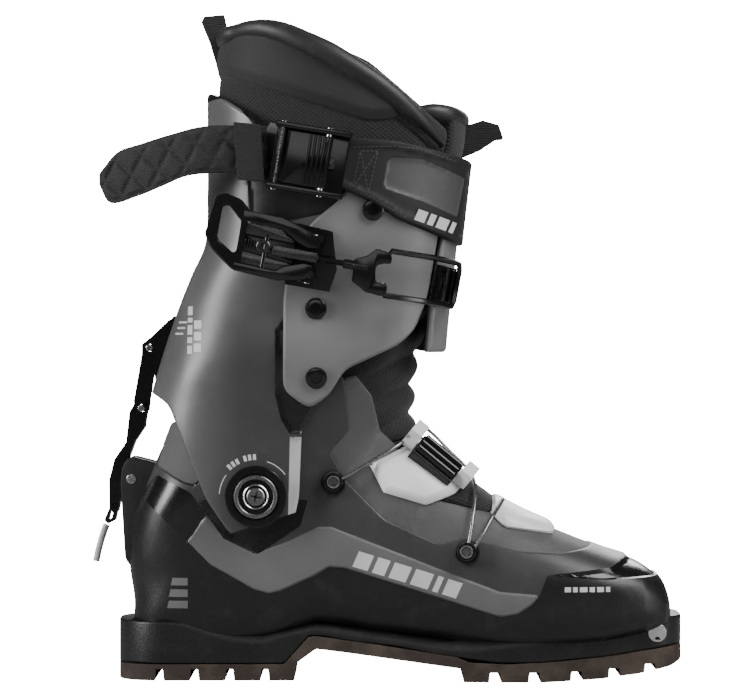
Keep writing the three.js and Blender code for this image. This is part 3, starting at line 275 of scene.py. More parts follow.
def smooth(value, low, high):
    """0 below low, 1 above high, and an S-shaped cubic between."""
    t = np.clip((value - low) / (high - low), 0, 1)
    return t * t * (3 - 2 * t)


# ---------------------------------------------------------------- meshes
def split(par, tri, value):
    """Cuts every triangle that the line value = 0 crosses into three, along it."""
    sign = value > 0
    count = sign[tri].sum(1)
    mixed = (count == 1) | (count == 2)
    rest, cut = tri[~mixed], tri[mixed]
    if not len(cut):
        return par, tri, value
    lone = np.where(count[mixed] == 1, np.argmax(sign[cut], 1), np.argmin(sign[cut], 1))
    cut = np.take_along_axis(cut, (lone[:, None] + np.arange(3)) % 3, 1)
    edges = np.sort(np.concatenate([cut[:, [0, 1]], cut[:, [0, 2]]]), 1)
    edges, where = np.unique(edges, axis=0, return_inverse=True)
    where = where.reshape(-1) + len(par)
    low, high = value[edges[:, 0]], value[edges[:, 1]]
    share = (low / (low - high))[:, None]
    fresh = par[edges[:, 0]] * (1 - share) + par[edges[:, 1]] * share
    a, b, c = cut.T
    ab, ac = where[:len(cut)], where[len(cut):]
    made = np.concatenate([
        np.stack([a, ab, ac], 1), np.stack([ab, b, c], 1), np.stack([ab, c, ac], 1)])
    return (np.concatenate([par, fresh]), np.concatenate([rest, made]),
            np.concatenate([value, np.zeros(len(fresh))]))


def within(outline, less=0.0):
    """A test for skins: how far points lie inside an outline drawn in by less."""
    return lambda points: inside(points, outline) - less


def grid(rows, columns):
    """Triangles of a grid of rows by columns points."""
    i, k = np.meshgrid(np.arange(rows - 1), np.arange(columns - 1), indexing="ij")
    a = (i * columns + k).ravel()
    quads = np.stack([a, a + 1, a + columns + 1, a + columns], 1)
    return np.concatenate([quads[:, [0, 1, 2]], quads[:, [0, 2, 3]]])


def piece(name, points, faces, finish, smooth_angle=35.0, merge=0.0, check=True):
    """A mesh object from points in millimetres and faces, as one named piece."""
    mesh = bpy.data.meshes.new(name)
    mesh.from_pydata((np.asarray(points) * MM).tolist(), [], [list(map(int, f)) for f in faces])
    obj = bpy.data.objects.new(name, mesh)
    bpy.context.scene.collection.objects.link(obj)
    if merge or check:
        work = bmesh.new()
        work.from_mesh(mesh)
        if merge:
            bmesh.ops.remove_doubles(work, verts=work.verts, dist=merge * MM)
        bmesh.ops.dissolve_degenerate(work, edges=work.edges, dist=1e-7)
        if check:
            bmesh.ops.recalc_face_normals(work, faces=work.faces)
        work.to_mesh(mesh)
        work.free()
    mesh.polygons.foreach_set("use_smooth", np.ones(len(mesh.polygons), bool))
    mesh.set_sharp_from_angle(angle=math.radians(smooth_angle))
    mesh.materials.append(finish)
    return obj


def store(obj, name, values):
    """A number for each vertex, for the piece's finish to read."""
    layer = obj.data.attributes.new(name, "FLOAT", "POINT")
    layer.data.foreach_set("value", np.asarray(values, np.float32))


def vertices_mm(obj):
    """A piece's vertices as an array, in millimetres."""
    co = np.empty(len(obj.data.vertices) * 3)
    obj.data.vertices.foreach_get("co", co)
    return co.reshape(-1, 3) / MM


FAR_OUTSIDE = 12.0  # a triangle with every corner further out than this never shows


def skin(name, loft, keep, finish, wall, grow=0.0, relief=None, creases=(), rows=150, columns=260,
         span=(0.0, 1.0), turn=(-math.pi, math.pi), edge=(0.8, 0.6), angle=32.0):
    """A skin of a loft: a fine grid of (u, angle), cut along the side-view outline where keep(points)
    is 0 and kept where it is above 0, and cut along each crease so that edges are sharp. Its outer
    face lies at grow + relief(points), less a rounding near its rim, and its inner face a wall inside."""
    u, a = np.meshgrid(np.linspace(*span, rows), loft.angles(columns, *turn), indexing="ij")
    par = np.stack([u.ravel(), a.ravel()], 1)
    tri = grid(rows, columns)

    def base(p):
        return loft.at(p[:, 0], p[:, 1], grow)

    near = keep(base(par))
    tri = tri[(near[tri] > -FAR_OUTSIDE).any(1)]
    for line in (keep, lambda q: keep(q) - edge[0], *creases):
        par, tri, _ = split(par, tri, line(base(par)))
    depth = keep(base(par))
    tri = tri[depth[tri].mean(1) > 0]
    used, tri = np.unique(tri, return_inverse=True)
    tri, par, depth = tri.reshape(-1, 3), par[used], np.maximum(depth[used], 0)
    here = base(par)
    lift = relief(here) if relief else np.zeros(len(here))
    rim = edge[1] * (1 - np.clip(depth / edge[0], 0, 1)) ** 2
    outer = loft.at(par[:, 0], par[:, 1], grow + lift - rim)
    inner = loft.at(par[:, 0], par[:, 1], grow - wall)
    n = len(par)
    key = np.unique(np.round(outer, 3), axis=0, return_inverse=True)[1].reshape(-1)
    sides = np.concatenate([tri[:, [0, 1]], tri[:, [1, 2]], tri[:, [2, 0]]])
    code = np.sort(key[sides], 1)
    _, back, count = np.unique(code, axis=0, return_inverse=True, return_counts=True)
    open_sides = sides[count[back.reshape(-1)] == 1]
    open_sides = open_sides[key[open_sides[:, 0]] != key[open_sides[:, 1]]]
    quads = np.stack([open_sides[:, 1], open_sides[:, 0], open_sides[:, 0] + n, open_sides[:, 1] + n], 1)
    faces = [*tri.tolist(), *(tri[:, ::-1] + n).tolist(), *quads.tolist()]
    return piece(name, np.concatenate([outer, inner]), faces, finish, angle, merge=0.002)


def rings_closed(count, sides):
    """Faces round and along count rings of sides points each, with an n-gon at either end."""
    i, k = np.meshgrid(np.arange(count - 1), np.arange(sides), indexing="ij")
    j = (k + 1) % sides
    faces = np.stack([i * sides + k, i * sides + j, (i + 1) * sides + j, (i + 1) * sides + k], -1)
    return [*faces.reshape(-1, 4).tolist(), list(range(sides)),
            list(range((count - 1) * sides, count * sides))]


def tube(name, path, radius, finish, sides=14):
    """A round bar along a line of points: a ring of sides points at each, square to the line, with the
    ring's first point carried along without twist."""
    p = np.asarray(path, float)
    r = np.broadcast_to(np.asarray(radius, float), (len(p),))
    run = np.gradient(p, axis=0)
    run /= np.linalg.norm(run, axis=1, keepdims=True)
    side = np.cross(run[0], [0.3, 0.2, 0.9])
    sides_at = []
    for t in run:
        side = side - t * (side @ t)
        side = side / np.linalg.norm(side)
        sides_at.append(side)
    x = np.array(sides_at)
    y = np.cross(run, x)
    a = np.linspace(0, 2 * math.pi, sides, endpoint=False)
    ring = (x[:, None] * np.cos(a)[None, :, None] + y[:, None] * np.sin(a)[None, :, None])
    points = (p[:, None] + ring * r[:, None, None]).reshape(-1, 3)
    return piece(name, points, rings_closed(len(p), sides), finish, 40)


def smooth_path(points, steps):
    """A smooth line through points, as steps points."""
    return catmull(points, np.linspace(0, 1, steps))


def solid_outline(outline, v0, v1, bevel=0.5):
    """Rings of an outline at six depths between v0 and v1, the outer ones drawn in to round the edges.
    The result is points (x, depth, z) and faces, with n-gon ends."""
    p = np.asarray(outline, float)
    before, after = p - np.roll(p, 1, 0), np.roll(p, -1, 0) - p
    before /= np.maximum(np.linalg.norm(before, axis=1, keepdims=True), 1e-9)
    after /= np.maximum(np.linalg.norm(after, axis=1, keepdims=True), 1e-9)
    mean = before + after
    mean /= np.maximum(np.linalg.norm(mean, axis=1, keepdims=True), 1e-9)
    area = 0.5 * np.sum(p[:, 0] * np.roll(p[:, 1], -1) - np.roll(p[:, 0], -1) * p[:, 1])
    into = np.stack([-mean[:, 1], mean[:, 0]], 1) * np.sign(area)
    rings = []
    for depth, draw in ((v0, bevel), (v0 + bevel * 0.3, bevel * 0.3), (v0 + bevel, 0), (v1 - bevel, 0),
                        (v1 - bevel * 0.3, bevel * 0.3), (v1, bevel)):
        q = p + into * draw
        rings.append(np.stack([q[:, 0], np.full(len(q), depth), q[:, 1]], 1))
    n = len(p)
    last = len(rings) - 1
    faces = [[r * n + k, r * n + (k + 1) % n, (r + 1) * n + (k + 1) % n, (r + 1) * n + k]
             for r in range(last) for k in range(n)]
    faces += [list(range(n)), list(range(last * n, (last + 1) * n))]
    return np.concatenate(rings), faces


def plate(name, outline, v0, v1, finish, bevel=0.5, place=None, corner=0.0):
    """A plate with rounded edges: a side-view outline between two depths, in a frame if one is given."""
    points, faces = solid_outline(arc_outline(outline, corner), v0, v1, bevel)
    return piece(name, placed(points, place), faces, finish, 40)


def placed(points, place):
    """Points from a frame's own (u, v, w) to the boot's."""
    if place is None:
        return points
    origin, axes = place
    return origin + points @ axes


def side_frame(x, y, z, tilt=0.0, side=-1):
    """A frame whose u runs to the toe, and down by the tilt, its v out of the boot's side and its w up."""
    c, s = math.cos(tilt), math.sin(tilt)
    return np.array([x, y, z]), np.array([[c, 0, -s], [0, side, 0], [s, 0, c]])


def normal_frame(point, normal):
    """A frame whose v runs out of a surface and whose w is as upright as that allows."""
    u = np.cross(normal, [0, 0, 1.0])
    u /= np.linalg.norm(u)
    return np.asarray(point), np.array([u, normal, np.cross(u, normal)])


def ring_plate(name, outer, inner, v0, v1, finish, bevel, place, corner):
    """A flat ring between two outlines with as many points, its edges drawn in by the bevel."""
    rings = []
    middle = (arc_outline(outer, corner) + arc_outline(inner, corner)) / 2
    for outline, first, last in ((outer, v0, v1), (inner, v1, v0)):
        p = arc_outline(outline, corner)
        into = middle - p
        into /= np.maximum(np.linalg.norm(into, axis=1, keepdims=True), 1e-6)
        step = math.copysign(bevel, last - first)
        for depth, draw in ((first, bevel), (first + step, 0), (last - step, 0), (last, bevel)):
            q = p + into * draw
            rings.append(np.stack([q[:, 0], np.full(len(q), depth), q[:, 1]], 1))
    n, count = len(middle), len(rings)
    faces = [[a * n + k, a * n + (k + 1) % n, (a + 1) % count * n + (k + 1) % n, (a + 1) % count * n + k]
             for a in range(count) for k in range(n)]
    return piece(name, placed(np.concatenate(rings), place), faces, finish, 40)


def marks(name, loft, quads, finish, grow, side=-1):
    """Thin painted marks on a loft, each a four-sided shape in the side view as a grid of 7 by 4."""
    along, across = 7, 4
    s, t = np.meshgrid(np.linspace(0, 1, along), np.linspace(0, 1, across), indexing="ij")
    s, t = s.reshape(-1, 1), t.reshape(-1, 1)
    places, faces = [], []
    for i, (a, b, c, d) in enumerate(np.asarray(quads, float)):
        places.append((a * (1 - s) + b * s) * (1 - t) + (d * (1 - s) + c * s) * t)
        faces.append(grid(along, across) + along * across * i)
    points, normals = seats(loft, np.concatenate(places), side, grow)
    film = 0.05  # so that a mark never shares its surface
    return piece(name, points + normals * film, np.concatenate(faces), finish, 40, check=False)


def bars(start, end, height, widths, gap, slant=0.0):
    """A row of slanted four-sided bars along a line, each of its own width."""
    start, end = np.asarray(start, float), np.asarray(end, float)
    run = (end - start) / np.linalg.norm(end - start)
    up = np.array([-run[1], run[0]]) + run * slant
    made, place = [], 0.0
    for width in widths:
        a = start + run * place
        made.append([a, a + run * width, a + run * width + up * height, a + up * height])
        place += width + gap
    return made


def lathe(name, profile, place, finish, sides=48, angle=30.0):
    """A turned piece: a profile of (radius, height) points spun round the frame's v axis."""
    p = np.asarray(profile, float)
    a = np.linspace(0, 2 * math.pi, sides, endpoint=False)
    x = p[:, 0, None] * np.cos(a)
    z = p[:, 0, None] * np.sin(a)
    y = np.broadcast_to(p[:, 1, None], x.shape)
    points = np.stack([x, y, z], -1).reshape(-1, 3)
    return piece(name, placed(points, place), rings_closed(len(p), sides), finish, angle, merge=0.001)


def box_points(u0, u1, v0, v1, w0, w1, bevel=0.5):
    """A block with rounded edges: a rounded rectangle between two depths."""
    corner = min(bevel, (u1 - u0) / 3, (w1 - w0) / 3)
    outline = arc_outline([(u0, w0), (u1, w0), (u1, w1), (u0, w1)], corner, 4)
    return solid_outline(outline, v0, v1, min(bevel, (v1 - v0) / 3))


def block(name, sizes, finish, place=None, bevel=0.5):
    """A block with rounded edges as a piece, in a frame if one is given."""
    points, faces = box_points(*sizes, bevel)
    return piece(name, placed(points, place), faces, finish, 40)


def joined(name, *objects):
    """Several solids as one piece, which keeps each one's finish."""
    first = objects[0]
    with bpy.context.temp_override(active_object=first, selected_editable_objects=list(objects)):
        bpy.ops.object.join()
    first.name = name
    return first


def refined(node, finish, bevel=0.4, name=None):
    """A copy of a frame node with its corners merged and its edges rounded."""
    source = frame["nodes"][node]
    mesh = source.data.copy()
    work = bmesh.new()
    work.from_mesh(mesh)
    bmesh.ops.remove_doubles(work, verts=work.verts, dist=2e-5)
    bmesh.ops.dissolve_limit(work, angle_limit=math.radians(1.5), verts=work.verts, edges=work.edges)
    work.to_mesh(mesh)
    work.free()
    obj = bpy.data.objects.new(name or node + "_shown", mesh)
    bpy.context.scene.collection.objects.link(obj)
    mesh.materials.clear()
    mesh.materials.append(finish)
    mesh.polygons.foreach_set("use_smooth", np.ones(len(mesh.polygons), bool))
    mesh.set_sharp_from_angle(angle=math.radians(32))
    if bevel:
        rounding = obj.modifiers.new("rounding", "BEVEL")
        rounding.width = bevel * MM
        rounding.segments = 2
        rounding.limit_method = "ANGLE"
        rounding.angle_limit = math.radians(32)
        rounding.harden_normals = True
    return done(obj, frame["nodes"][node]["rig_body"], node)


def done(obj, body, *nodes, slot=None):
    """Fixes a finished piece to its body, in place of frame nodes. The slot is not used."""
    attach(obj, body)
    if nodes:
        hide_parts(*nodes)
    return obj


# ---------------------------------------------------------------- finishes
class Graph:
    """A node tree with short ways to add nodes, whose inputs are numbers or other nodes' sockets."""

    def __init__(self, tree):
        self.tree = tree

    def node(self, kind, inputs=None, **settings):
        made = self.tree.nodes.new(kind)
        for key, value in settings.items():
            setattr(made, key, value)
        for key, value in (inputs or {}).items():
            if isinstance(value, bpy.types.NodeSocket):
                self.tree.links.new(value, made.inputs[key])
            else:
                made.inputs[key].default_value = value
        return made

    def math(self, operation, *values, clamp=False):
        made = self.node("ShaderNodeMath", dict(enumerate(values)), operation=operation)
        made.use_clamp = clamp
        return made.outputs[0]

    def ramp(self, value, low, high, start=0.0, end=1.0):
        made = self.node("ShaderNodeMapRange", {
            "Value": value, "From Min": low, "From Max": high, "To Min": start, "To Max": end})
        return made.outputs["Result"]

    def blend(self, share, a, b, mode="MIX"):
        made = self.node("ShaderNodeMix", {0: share, 6: a, 7: b}, data_type="RGBA", blend_type=mode)
        return made.outputs[2]

    def tint(self, colour, tone):
        level = self.node("ShaderNodeCombineColor", {0: tone, 1: tone, 2: tone}).outputs[0]
        return self.blend(1.0, colour, level, "MULTIPLY")

    def noise(self, scale, detail=2.0, vector=None, stretch=None):
        where = vector or self.node("ShaderNodeTexCoord").outputs["Object"]
        if stretch:
            where = self.node("ShaderNodeMapping", {"Vector": where, "Scale": stretch}).outputs[0]
        made = self.node("ShaderNodeTexNoise", {"Vector": where, "Scale": scale, "Detail": detail})
        return made.outputs["Fac"]

    def attribute(self, name):
        return self.node("ShaderNodeAttribute", attribute_name=name).outputs["Fac"]


def group(name, inputs):
    """An empty shared effect that takes a colour, a roughness and the named numbers, and gives back a
    colour, a roughness and a height for the bump."""
    tree = bpy.data.node_groups.new(name, "ShaderNodeTree")
    tree.interface.new_socket("Colour", in_out="INPUT", socket_type="NodeSocketColor")
    for key in ("Roughness", *inputs):
        tree.interface.new_socket(key, in_out="INPUT", socket_type="NodeSocketFloat")
    tree.interface.new_socket("Colour", in_out="OUTPUT", socket_type="NodeSocketColor")
    for key in ("Roughness", "Height"):
        tree.interface.new_socket(key, in_out="OUTPUT", socket_type="NodeSocketFloat")
    g = Graph(tree)
    return g, g.node("NodeGroupInput").outputs, g.node("NodeGroupOutput").inputs


def fill(g, sink, colour, roughness, height):
    """Joins a shared effect's three results to its output."""
    g.tree.links.new(colour, sink["Colour"])
    g.tree.links.new(roughness, sink["Roughness"])
    g.tree.links.new(height, sink["Height"])
    return g.tree


def moulded_effect():
    """Moulded plastic: a fine grain, a broad unevenness of tone and a few rubbed places."""
    g, given, sink = group("moulded", ("Grain size", "Rub"))
    fine = g.noise(given["Grain size"], 3.0)
    broad = g.noise(28.0, 3.0)
    rubbed = g.ramp(g.noise(90.0, 5.0), 0.56, 0.7)
    tone = g.math("ADD", g.ramp(broad, 0.3, 0.7, 0.9, 1.1), g.ramp(fine, 0.3, 0.7, -0.05, 0.05))
    tinted = g.tint(given["Colour"], tone)
    lighter = g.blend(g.math("MULTIPLY", rubbed, given["Rub"]), tinted, (0.22, 0.22, 0.22, 1))
    rough = g.math("ADD", given["Roughness"], g.ramp(broad, 0.3, 0.7, -0.05, 0.06))
    return fill(g, sink, lighter, rough, fine)


def metal_effect():
    """Metal: fine scratches along and across, over a slow change of sheen."""
    g, given, sink = group("worn metal", ("Scratches",))
    lines = g.noise(700.0, 3.0, stretch=(1.0, 1.0, 6.0))
    patches = g.noise(140.0, 4.0)
    tone = g.ramp(patches, 0.3, 0.75, 0.88, 1.12)
    tinted = g.tint(given["Colour"], tone)
    rough = g.math("ADD", given["Roughness"], g.math("MULTIPLY", given["Scratches"],
                                                     g.ramp(lines, 0.35, 0.7, -0.08, 0.14)))
    return fill(g, sink, tinted, rough, lines)


def woven_effect():
    """Webbing or cloth: rows of threads over and under, by the piece's own run and rise in mm."""
    g, given, sink = group("woven", ("Pitch", "Fuzz"))
    run, rise = g.attribute("run"), g.attribute("rise")
    turn = g.math("DIVIDE", 2 * math.pi, given["Pitch"])
    across = g.math("SINE", g.math("MULTIPLY", run, turn))
    up = g.math("SINE", g.math("MULTIPLY", rise, turn))
    threads = g.math("MULTIPLY", across, up)
    fuzz = g.noise(900.0, 4.0)
    height = g.math("ADD", g.math("MULTIPLY", threads, 0.5), g.math("MULTIPLY", fuzz, given["Fuzz"]))
    tone = g.math("ADD", g.ramp(threads, -1.0, 1.0, 0.72, 1.22),
                  g.ramp(g.noise(60.0, 3.0), 0.3, 0.7, -0.1, 0.1))
    tinted = g.tint(given["Colour"], tone)
    return fill(g, sink, tinted, g.math("ADD", given["Roughness"], g.ramp(fuzz, 0.2, 0.8, -0.04, 0.04)),
                height)


def rubber_effect():
    """Rubber: a coarse mottle, pale dust on it and small pores."""
    g, given, sink = group("rubber", ("Dust",))
    mottle = g.noise(240.0, 5.0)
    dust = g.ramp(g.noise(45.0, 5.0), 0.45, 0.72)
    tone = g.ramp(mottle, 0.25, 0.75, 0.75, 1.25)
    tinted = g.tint(given["Colour"], tone)
    dusty = g.blend(g.math("MULTIPLY", dust, given["Dust"]), tinted, (0.16, 0.125, 0.095, 1))
    return fill(g, sink, dusty, g.math("ADD", given["Roughness"], g.ramp(mottle, 0.3, 0.7, -0.08, 0.08)),
                mottle)


EFFECTS = {"moulded": moulded_effect(), "metal": metal_effect(), "woven": woven_effect(),
           "rubber": rubber_effect()}


def grey(level):
    return (level, level, level, 1.0)


JET = grey(0.006)


def finish(name, effect, colour, roughness, settings=None, metal=0.0, bump=0.1, reach=0.0002, zones=(),
           coat=0.0, sheen=0.0, specular=0.5):
    """A finish: a base colour, painted over by zones, through a shared effect. A zone is (attribute,
    colour, roughness): the attribute is a distance in mm, and the zone's colour is used above 0."""
    made = bpy.data.materials.new(name)
    made.use_nodes = True
    g = Graph(made.node_tree)
    g.tree.nodes.clear()
    shade, rough = colour, roughness
    for attribute, zone_colour, zone_rough in zones:
        share = g.ramp(g.attribute(attribute), -0.12, 0.12)
        shade = g.blend(share, shade, zone_colour)
        rough = g.math("ADD", g.math("MULTIPLY", share, zone_rough),
                       g.math("MULTIPLY", g.math("SUBTRACT", 1.0, share), rough))
    shared = g.node("ShaderNodeGroup", node_tree=EFFECTS[effect])
    for key, value in {"Colour": shade, "Roughness": rough, **(settings or {})}.items():
        if isinstance(value, bpy.types.NodeSocket):
            g.tree.links.new(value, shared.inputs[key])
        else:
            shared.inputs[key].default_value = value
    bumped = g.node("ShaderNodeBump", {
        "Height": shared.outputs["Height"], "Strength": bump, "Distance": reach})
    surface = g.node("ShaderNodeBsdfPrincipled", {
        "Base Color": shared.outputs["Colour"], "Roughness": shared.outputs["Roughness"], "Metallic": metal,
        "Normal": bumped.outputs["Normal"], "Coat Weight": coat, "Coat Roughness": 0.25,
        "Sheen Weight": sheen, "Sheen Roughness": 0.5, "Specular IOR Level": specular})
    g.tree.links.new(surface.outputs[0], g.node("ShaderNodeOutputMaterial").inputs[0])
    return made


# The black band on the shell just below the cuff's edge is a painted shadow.
SHELL_ZONES = (("above", grey(0.034), 0.4), ("stripe", grey(0.1), 0.48), ("rim", JET, 0.25),
               ("gloss", JET, 0.16), ("soft", grey(0.075), 0.75), ("seam", grey(0.004), 0.4),
               ("nose", JET, 0.2))
SHELL = finish("shell", "moulded", JET, 0.36, {"Grain size": 1500.0, "Rub": 0.03}, bump=0.35,
               reach=0.0002, zones=SHELL_ZONES, specular=0.4)
LUGS = finish("lugs", "moulded", grey(0.005), 0.4, {"Grain size": 900.0, "Rub": 0.02}, bump=0.4, reach=0.0003,
              specular=0.4)
# On the cuff, painted shade darkens the lower front, the pale zone on the front edge's facet is a painted
# highlight, and the black zone under the front flap's edge is a painted shadow.
CUFF_FINISH = finish("cuff", "moulded", grey(0.085), 0.36, {"Grain size": 1800.0, "Rub": 0.04}, bump=0.15,
                     reach=0.0001, zones=(("painted_shade", grey(0.022), 0.4), ("panel", JET, 0.35),
                                          ("spoiler", JET, 0.15),
                                          ("strip", grey(0.4), 0.3), ("shade", JET, 0.25)))
FLAP_FINISH = finish("flap", "moulded", grey(0.135), 0.38, {"Grain size": 1800.0, "Rub": 0.04}, bump=0.15,
                     reach=0.0001)
GAITER_FINISH = finish("gaiter", "moulded", grey(0.06), 0.62, {"Grain size": 700.0, "Rub": 0.12}, bump=0.3,
                       reach=0.0003)
MARK_FINISH = finish("marks", "moulded", grey(0.5), 0.5, {"Grain size": 1500.0, "Rub": 0.1}, bump=0.1)
FAINT_FINISH = finish("faint_marks", "moulded", grey(0.11), 0.5, {"Grain size": 1500.0, "Rub": 0.1}, bump=0.1)
THREAD_FINISH = finish("thread", "rubber", grey(0.035), 0.7, {"Dust": 0.1}, bump=0.2)
DARK_METAL = finish("dark_metal", "metal", grey(0.06), 0.3, {"Scratches": 1.0}, metal=0.9, bump=0.05,
                    reach=0.0001)
PLATE_FINISH = finish("plate", "moulded", grey(0.7), 0.36, {"Grain size": 1600.0, "Rub": 0.02}, bump=0.1,
                      reach=0.0001)
RUBBER_FINISH = finish("outsole", "rubber", (0.02, 0.0105, 0.006, 1), 0.75, {"Dust": 0.3}, bump=0.6,
                       reach=0.0004)
LINER_FINISH = finish("liner", "woven", grey(0.0105), 0.8, {"Pitch": 2.1, "Fuzz": 0.4}, bump=0.8,
                      reach=0.0004,
                      sheen=0.12, specular=0.35)
PAD_FINISH = finish("liner_pad", "woven", grey(0.0115), 0.7, {"Pitch": 0.9, "Fuzz": 0.5}, bump=0.4,
                    reach=0.0002, sheen=0.12, specular=0.35)
ROLL_FINISH = finish("liner_roll", "moulded", grey(0.003), 0.5, {"Grain size": 1200.0, "Rub": 0.05}, bump=0.4,
                     reach=0.0002, sheen=0.08)
FOAM_FINISH = finish("board", "rubber", grey(0.1), 0.9, {"Dust": 0.1}, bump=0.3)
WEB_FINISH = finish("webbing", "woven", grey(0.0085), 0.72, {"Pitch": 1.3, "Fuzz": 0.4}, bump=0.7,
                    reach=0.0003,
                    sheen=0.08, specular=0.35)
STRAP_FINISH = finish("strap", "woven", grey(0.0085), 0.6, {"Pitch": 0.9, "Fuzz": 0.5}, bump=0.5,
                      reach=0.0002,
                      specular=0.35, zones=(("window", grey(0.055), 0.4),))
CORD_FINISH = finish("sleeve", "rubber", grey(0.4), 0.35, {"Dust": 0.2}, bump=0.1, coat=0.4)
BLACK_METAL = finish("black_metal", "metal", JET, 0.2, {"Scratches": 0.3}, metal=0.3, bump=0.02,
                     reach=0.0001, specular=0.6)
GREY_METAL = finish("grey_metal", "metal", grey(0.24), 0.3, {"Scratches": 1.0}, metal=1.0, bump=0.05,
                    reach=0.0001)
STEEL = finish("steel", "metal", grey(0.6), 0.2, {"Scratches": 1.0}, metal=1.0, bump=0.04, reach=0.0001)


# ---------------------------------------------------------------- the shell
# The cuff's outline, which a painted shadow band on the shell follows too.
REAR = [(-100, 152), (-56, 150), (-47, 144.5), (-26.4, 95.2), (-14.4, 78.1), (0, 71), (19.3, 83.8),
        (22.4, 95.2),
        (23.9, 131.5), (27, 137), (37, 155), (41, 165), (43, 200), (70, 236), (72, 262), (45, 284), (20, 287),
        (0.5, 292.5), (-27, 309), (-100, 311)]
# The gaiter's lower edge lies under this line of the shell.
LAP = [(46, 158), (48.8, 131.4), (38.4, 120), (46.2, 105.4), (67, 84.6), (95.6, 71.6), (108.6, 75.3),
       (137, 68.5), (158, 67.5), (173.6, 70.1), (180, 73)]
SHELL_KEPT = [(-100, -10), (-100, 134), (-45, 134), (-24, 139.5), (20, 161), (42, 164), *LAP, (188, 95),
              (250, 95), (250, -10)]
STRIPE = [(-36.1, 73.1), (-26.7, 86.6), (-18.9, 78.8), (-0.2, 67.3), (17.5, 73.6), (32.1, 80.9), (38.9, 80.9),
          (103.9, 55.9), (126.8, 47.6), (147.1, 46), (143, 41), (135.7, 36.1), (126.8, 34.6), (46.2, 59.5),
          (37.8, 60.1), (30, 55.4), (12.9, 47.6), (6.6, 46), (-1.2, 48.1), (-24.1, 61.1)]
ABOVE = [(-62, 106), (-35, 75), (-18.9, 70), (-0.2, 60), (32.1, 70), (103.9, 50), (126.8, 44), (147.1, 46),
         (150.9, 56.2), (184.8, 59.9), (214, 60), (230, 110), (230, 220), (-120, 220), (-120, 106)]
GLOSS = [(-53, 107.8), (-34.8, 98.9), (-25.9, 87.4), (-35.8, 72.8), (-61.9, 96.8)]
SOFT_BACK = [(-53.2, 112.4), (-49, 110.3), (-44.3, 107.1), (-37.5, 103.5), (-32.3, 102.4), (-29.7, 104.5),
             (-28.1, 108.7), (-34.9, 123.3), (-44.3, 138.5), (-47.5, 133.8), (-50.1, 127.5), (-51.7, 118.1)]
NOSE = [(150.9, 56.2), (184.8, 59.9), (200.5, 68.2), (210.9, 59.9), (210.9, 54.7), (179.1, 53.6)]


STRIPE_BEVEL, NOSE_DEPTH, GROOVE_HALF, GROOVE_DEPTH = 1.0, 1.6, 0.6, 0.8


def shell_relief(p):
    """The stripe stands proud with a bevelled edge, the nose's facet is sunk, and a groove runs round
    the soft heel patch. The stripe is on the outer side, and the others on both."""
    side = smooth(-p[:, 1], 5, 12)
    raised = STRIPE_RISE * np.clip(inside(p, STRIPE) / STRIPE_BEVEL, 0, 1) * side
    sunk = NOSE_DEPTH * np.clip(inside(p, NOSE) / NOSE_DEPTH, 0, 1)
    groove = GROOVE_DEPTH * np.clip(1 - np.abs(inside(p, SOFT_BACK)) / GROOVE_HALF, 0, 1)
    return raised - sunk - groove


WELT_LOW = [(-75, 8.8), (14, 8.8), (27, 23.4), (34, 23.4), (54, 19.8), (74, 18), (94, 14.2), (124, 10.3),
            (144, 10.2), (158, 11.1), (182, 13.3), (203, 16.1), (226, 19.3)]
WELT_TOP = [(-75, 31), (-38, 31), (2, 25), (30, 30.5), (100, 21), (150, 26), (176, 33.5), (226, 33.5)]
WELT_ROUND = [(-75, 1.3), (-45, 1.6), (-15, 8), (20, 5), (60, 7), (150, 7), (184, 1.6), (226, 1.3)]


def level_along(line):
    """A height or radius read off a line of (x, value), straight between its points."""
    return lambda x: np.interp(x, *np.transpose(line))


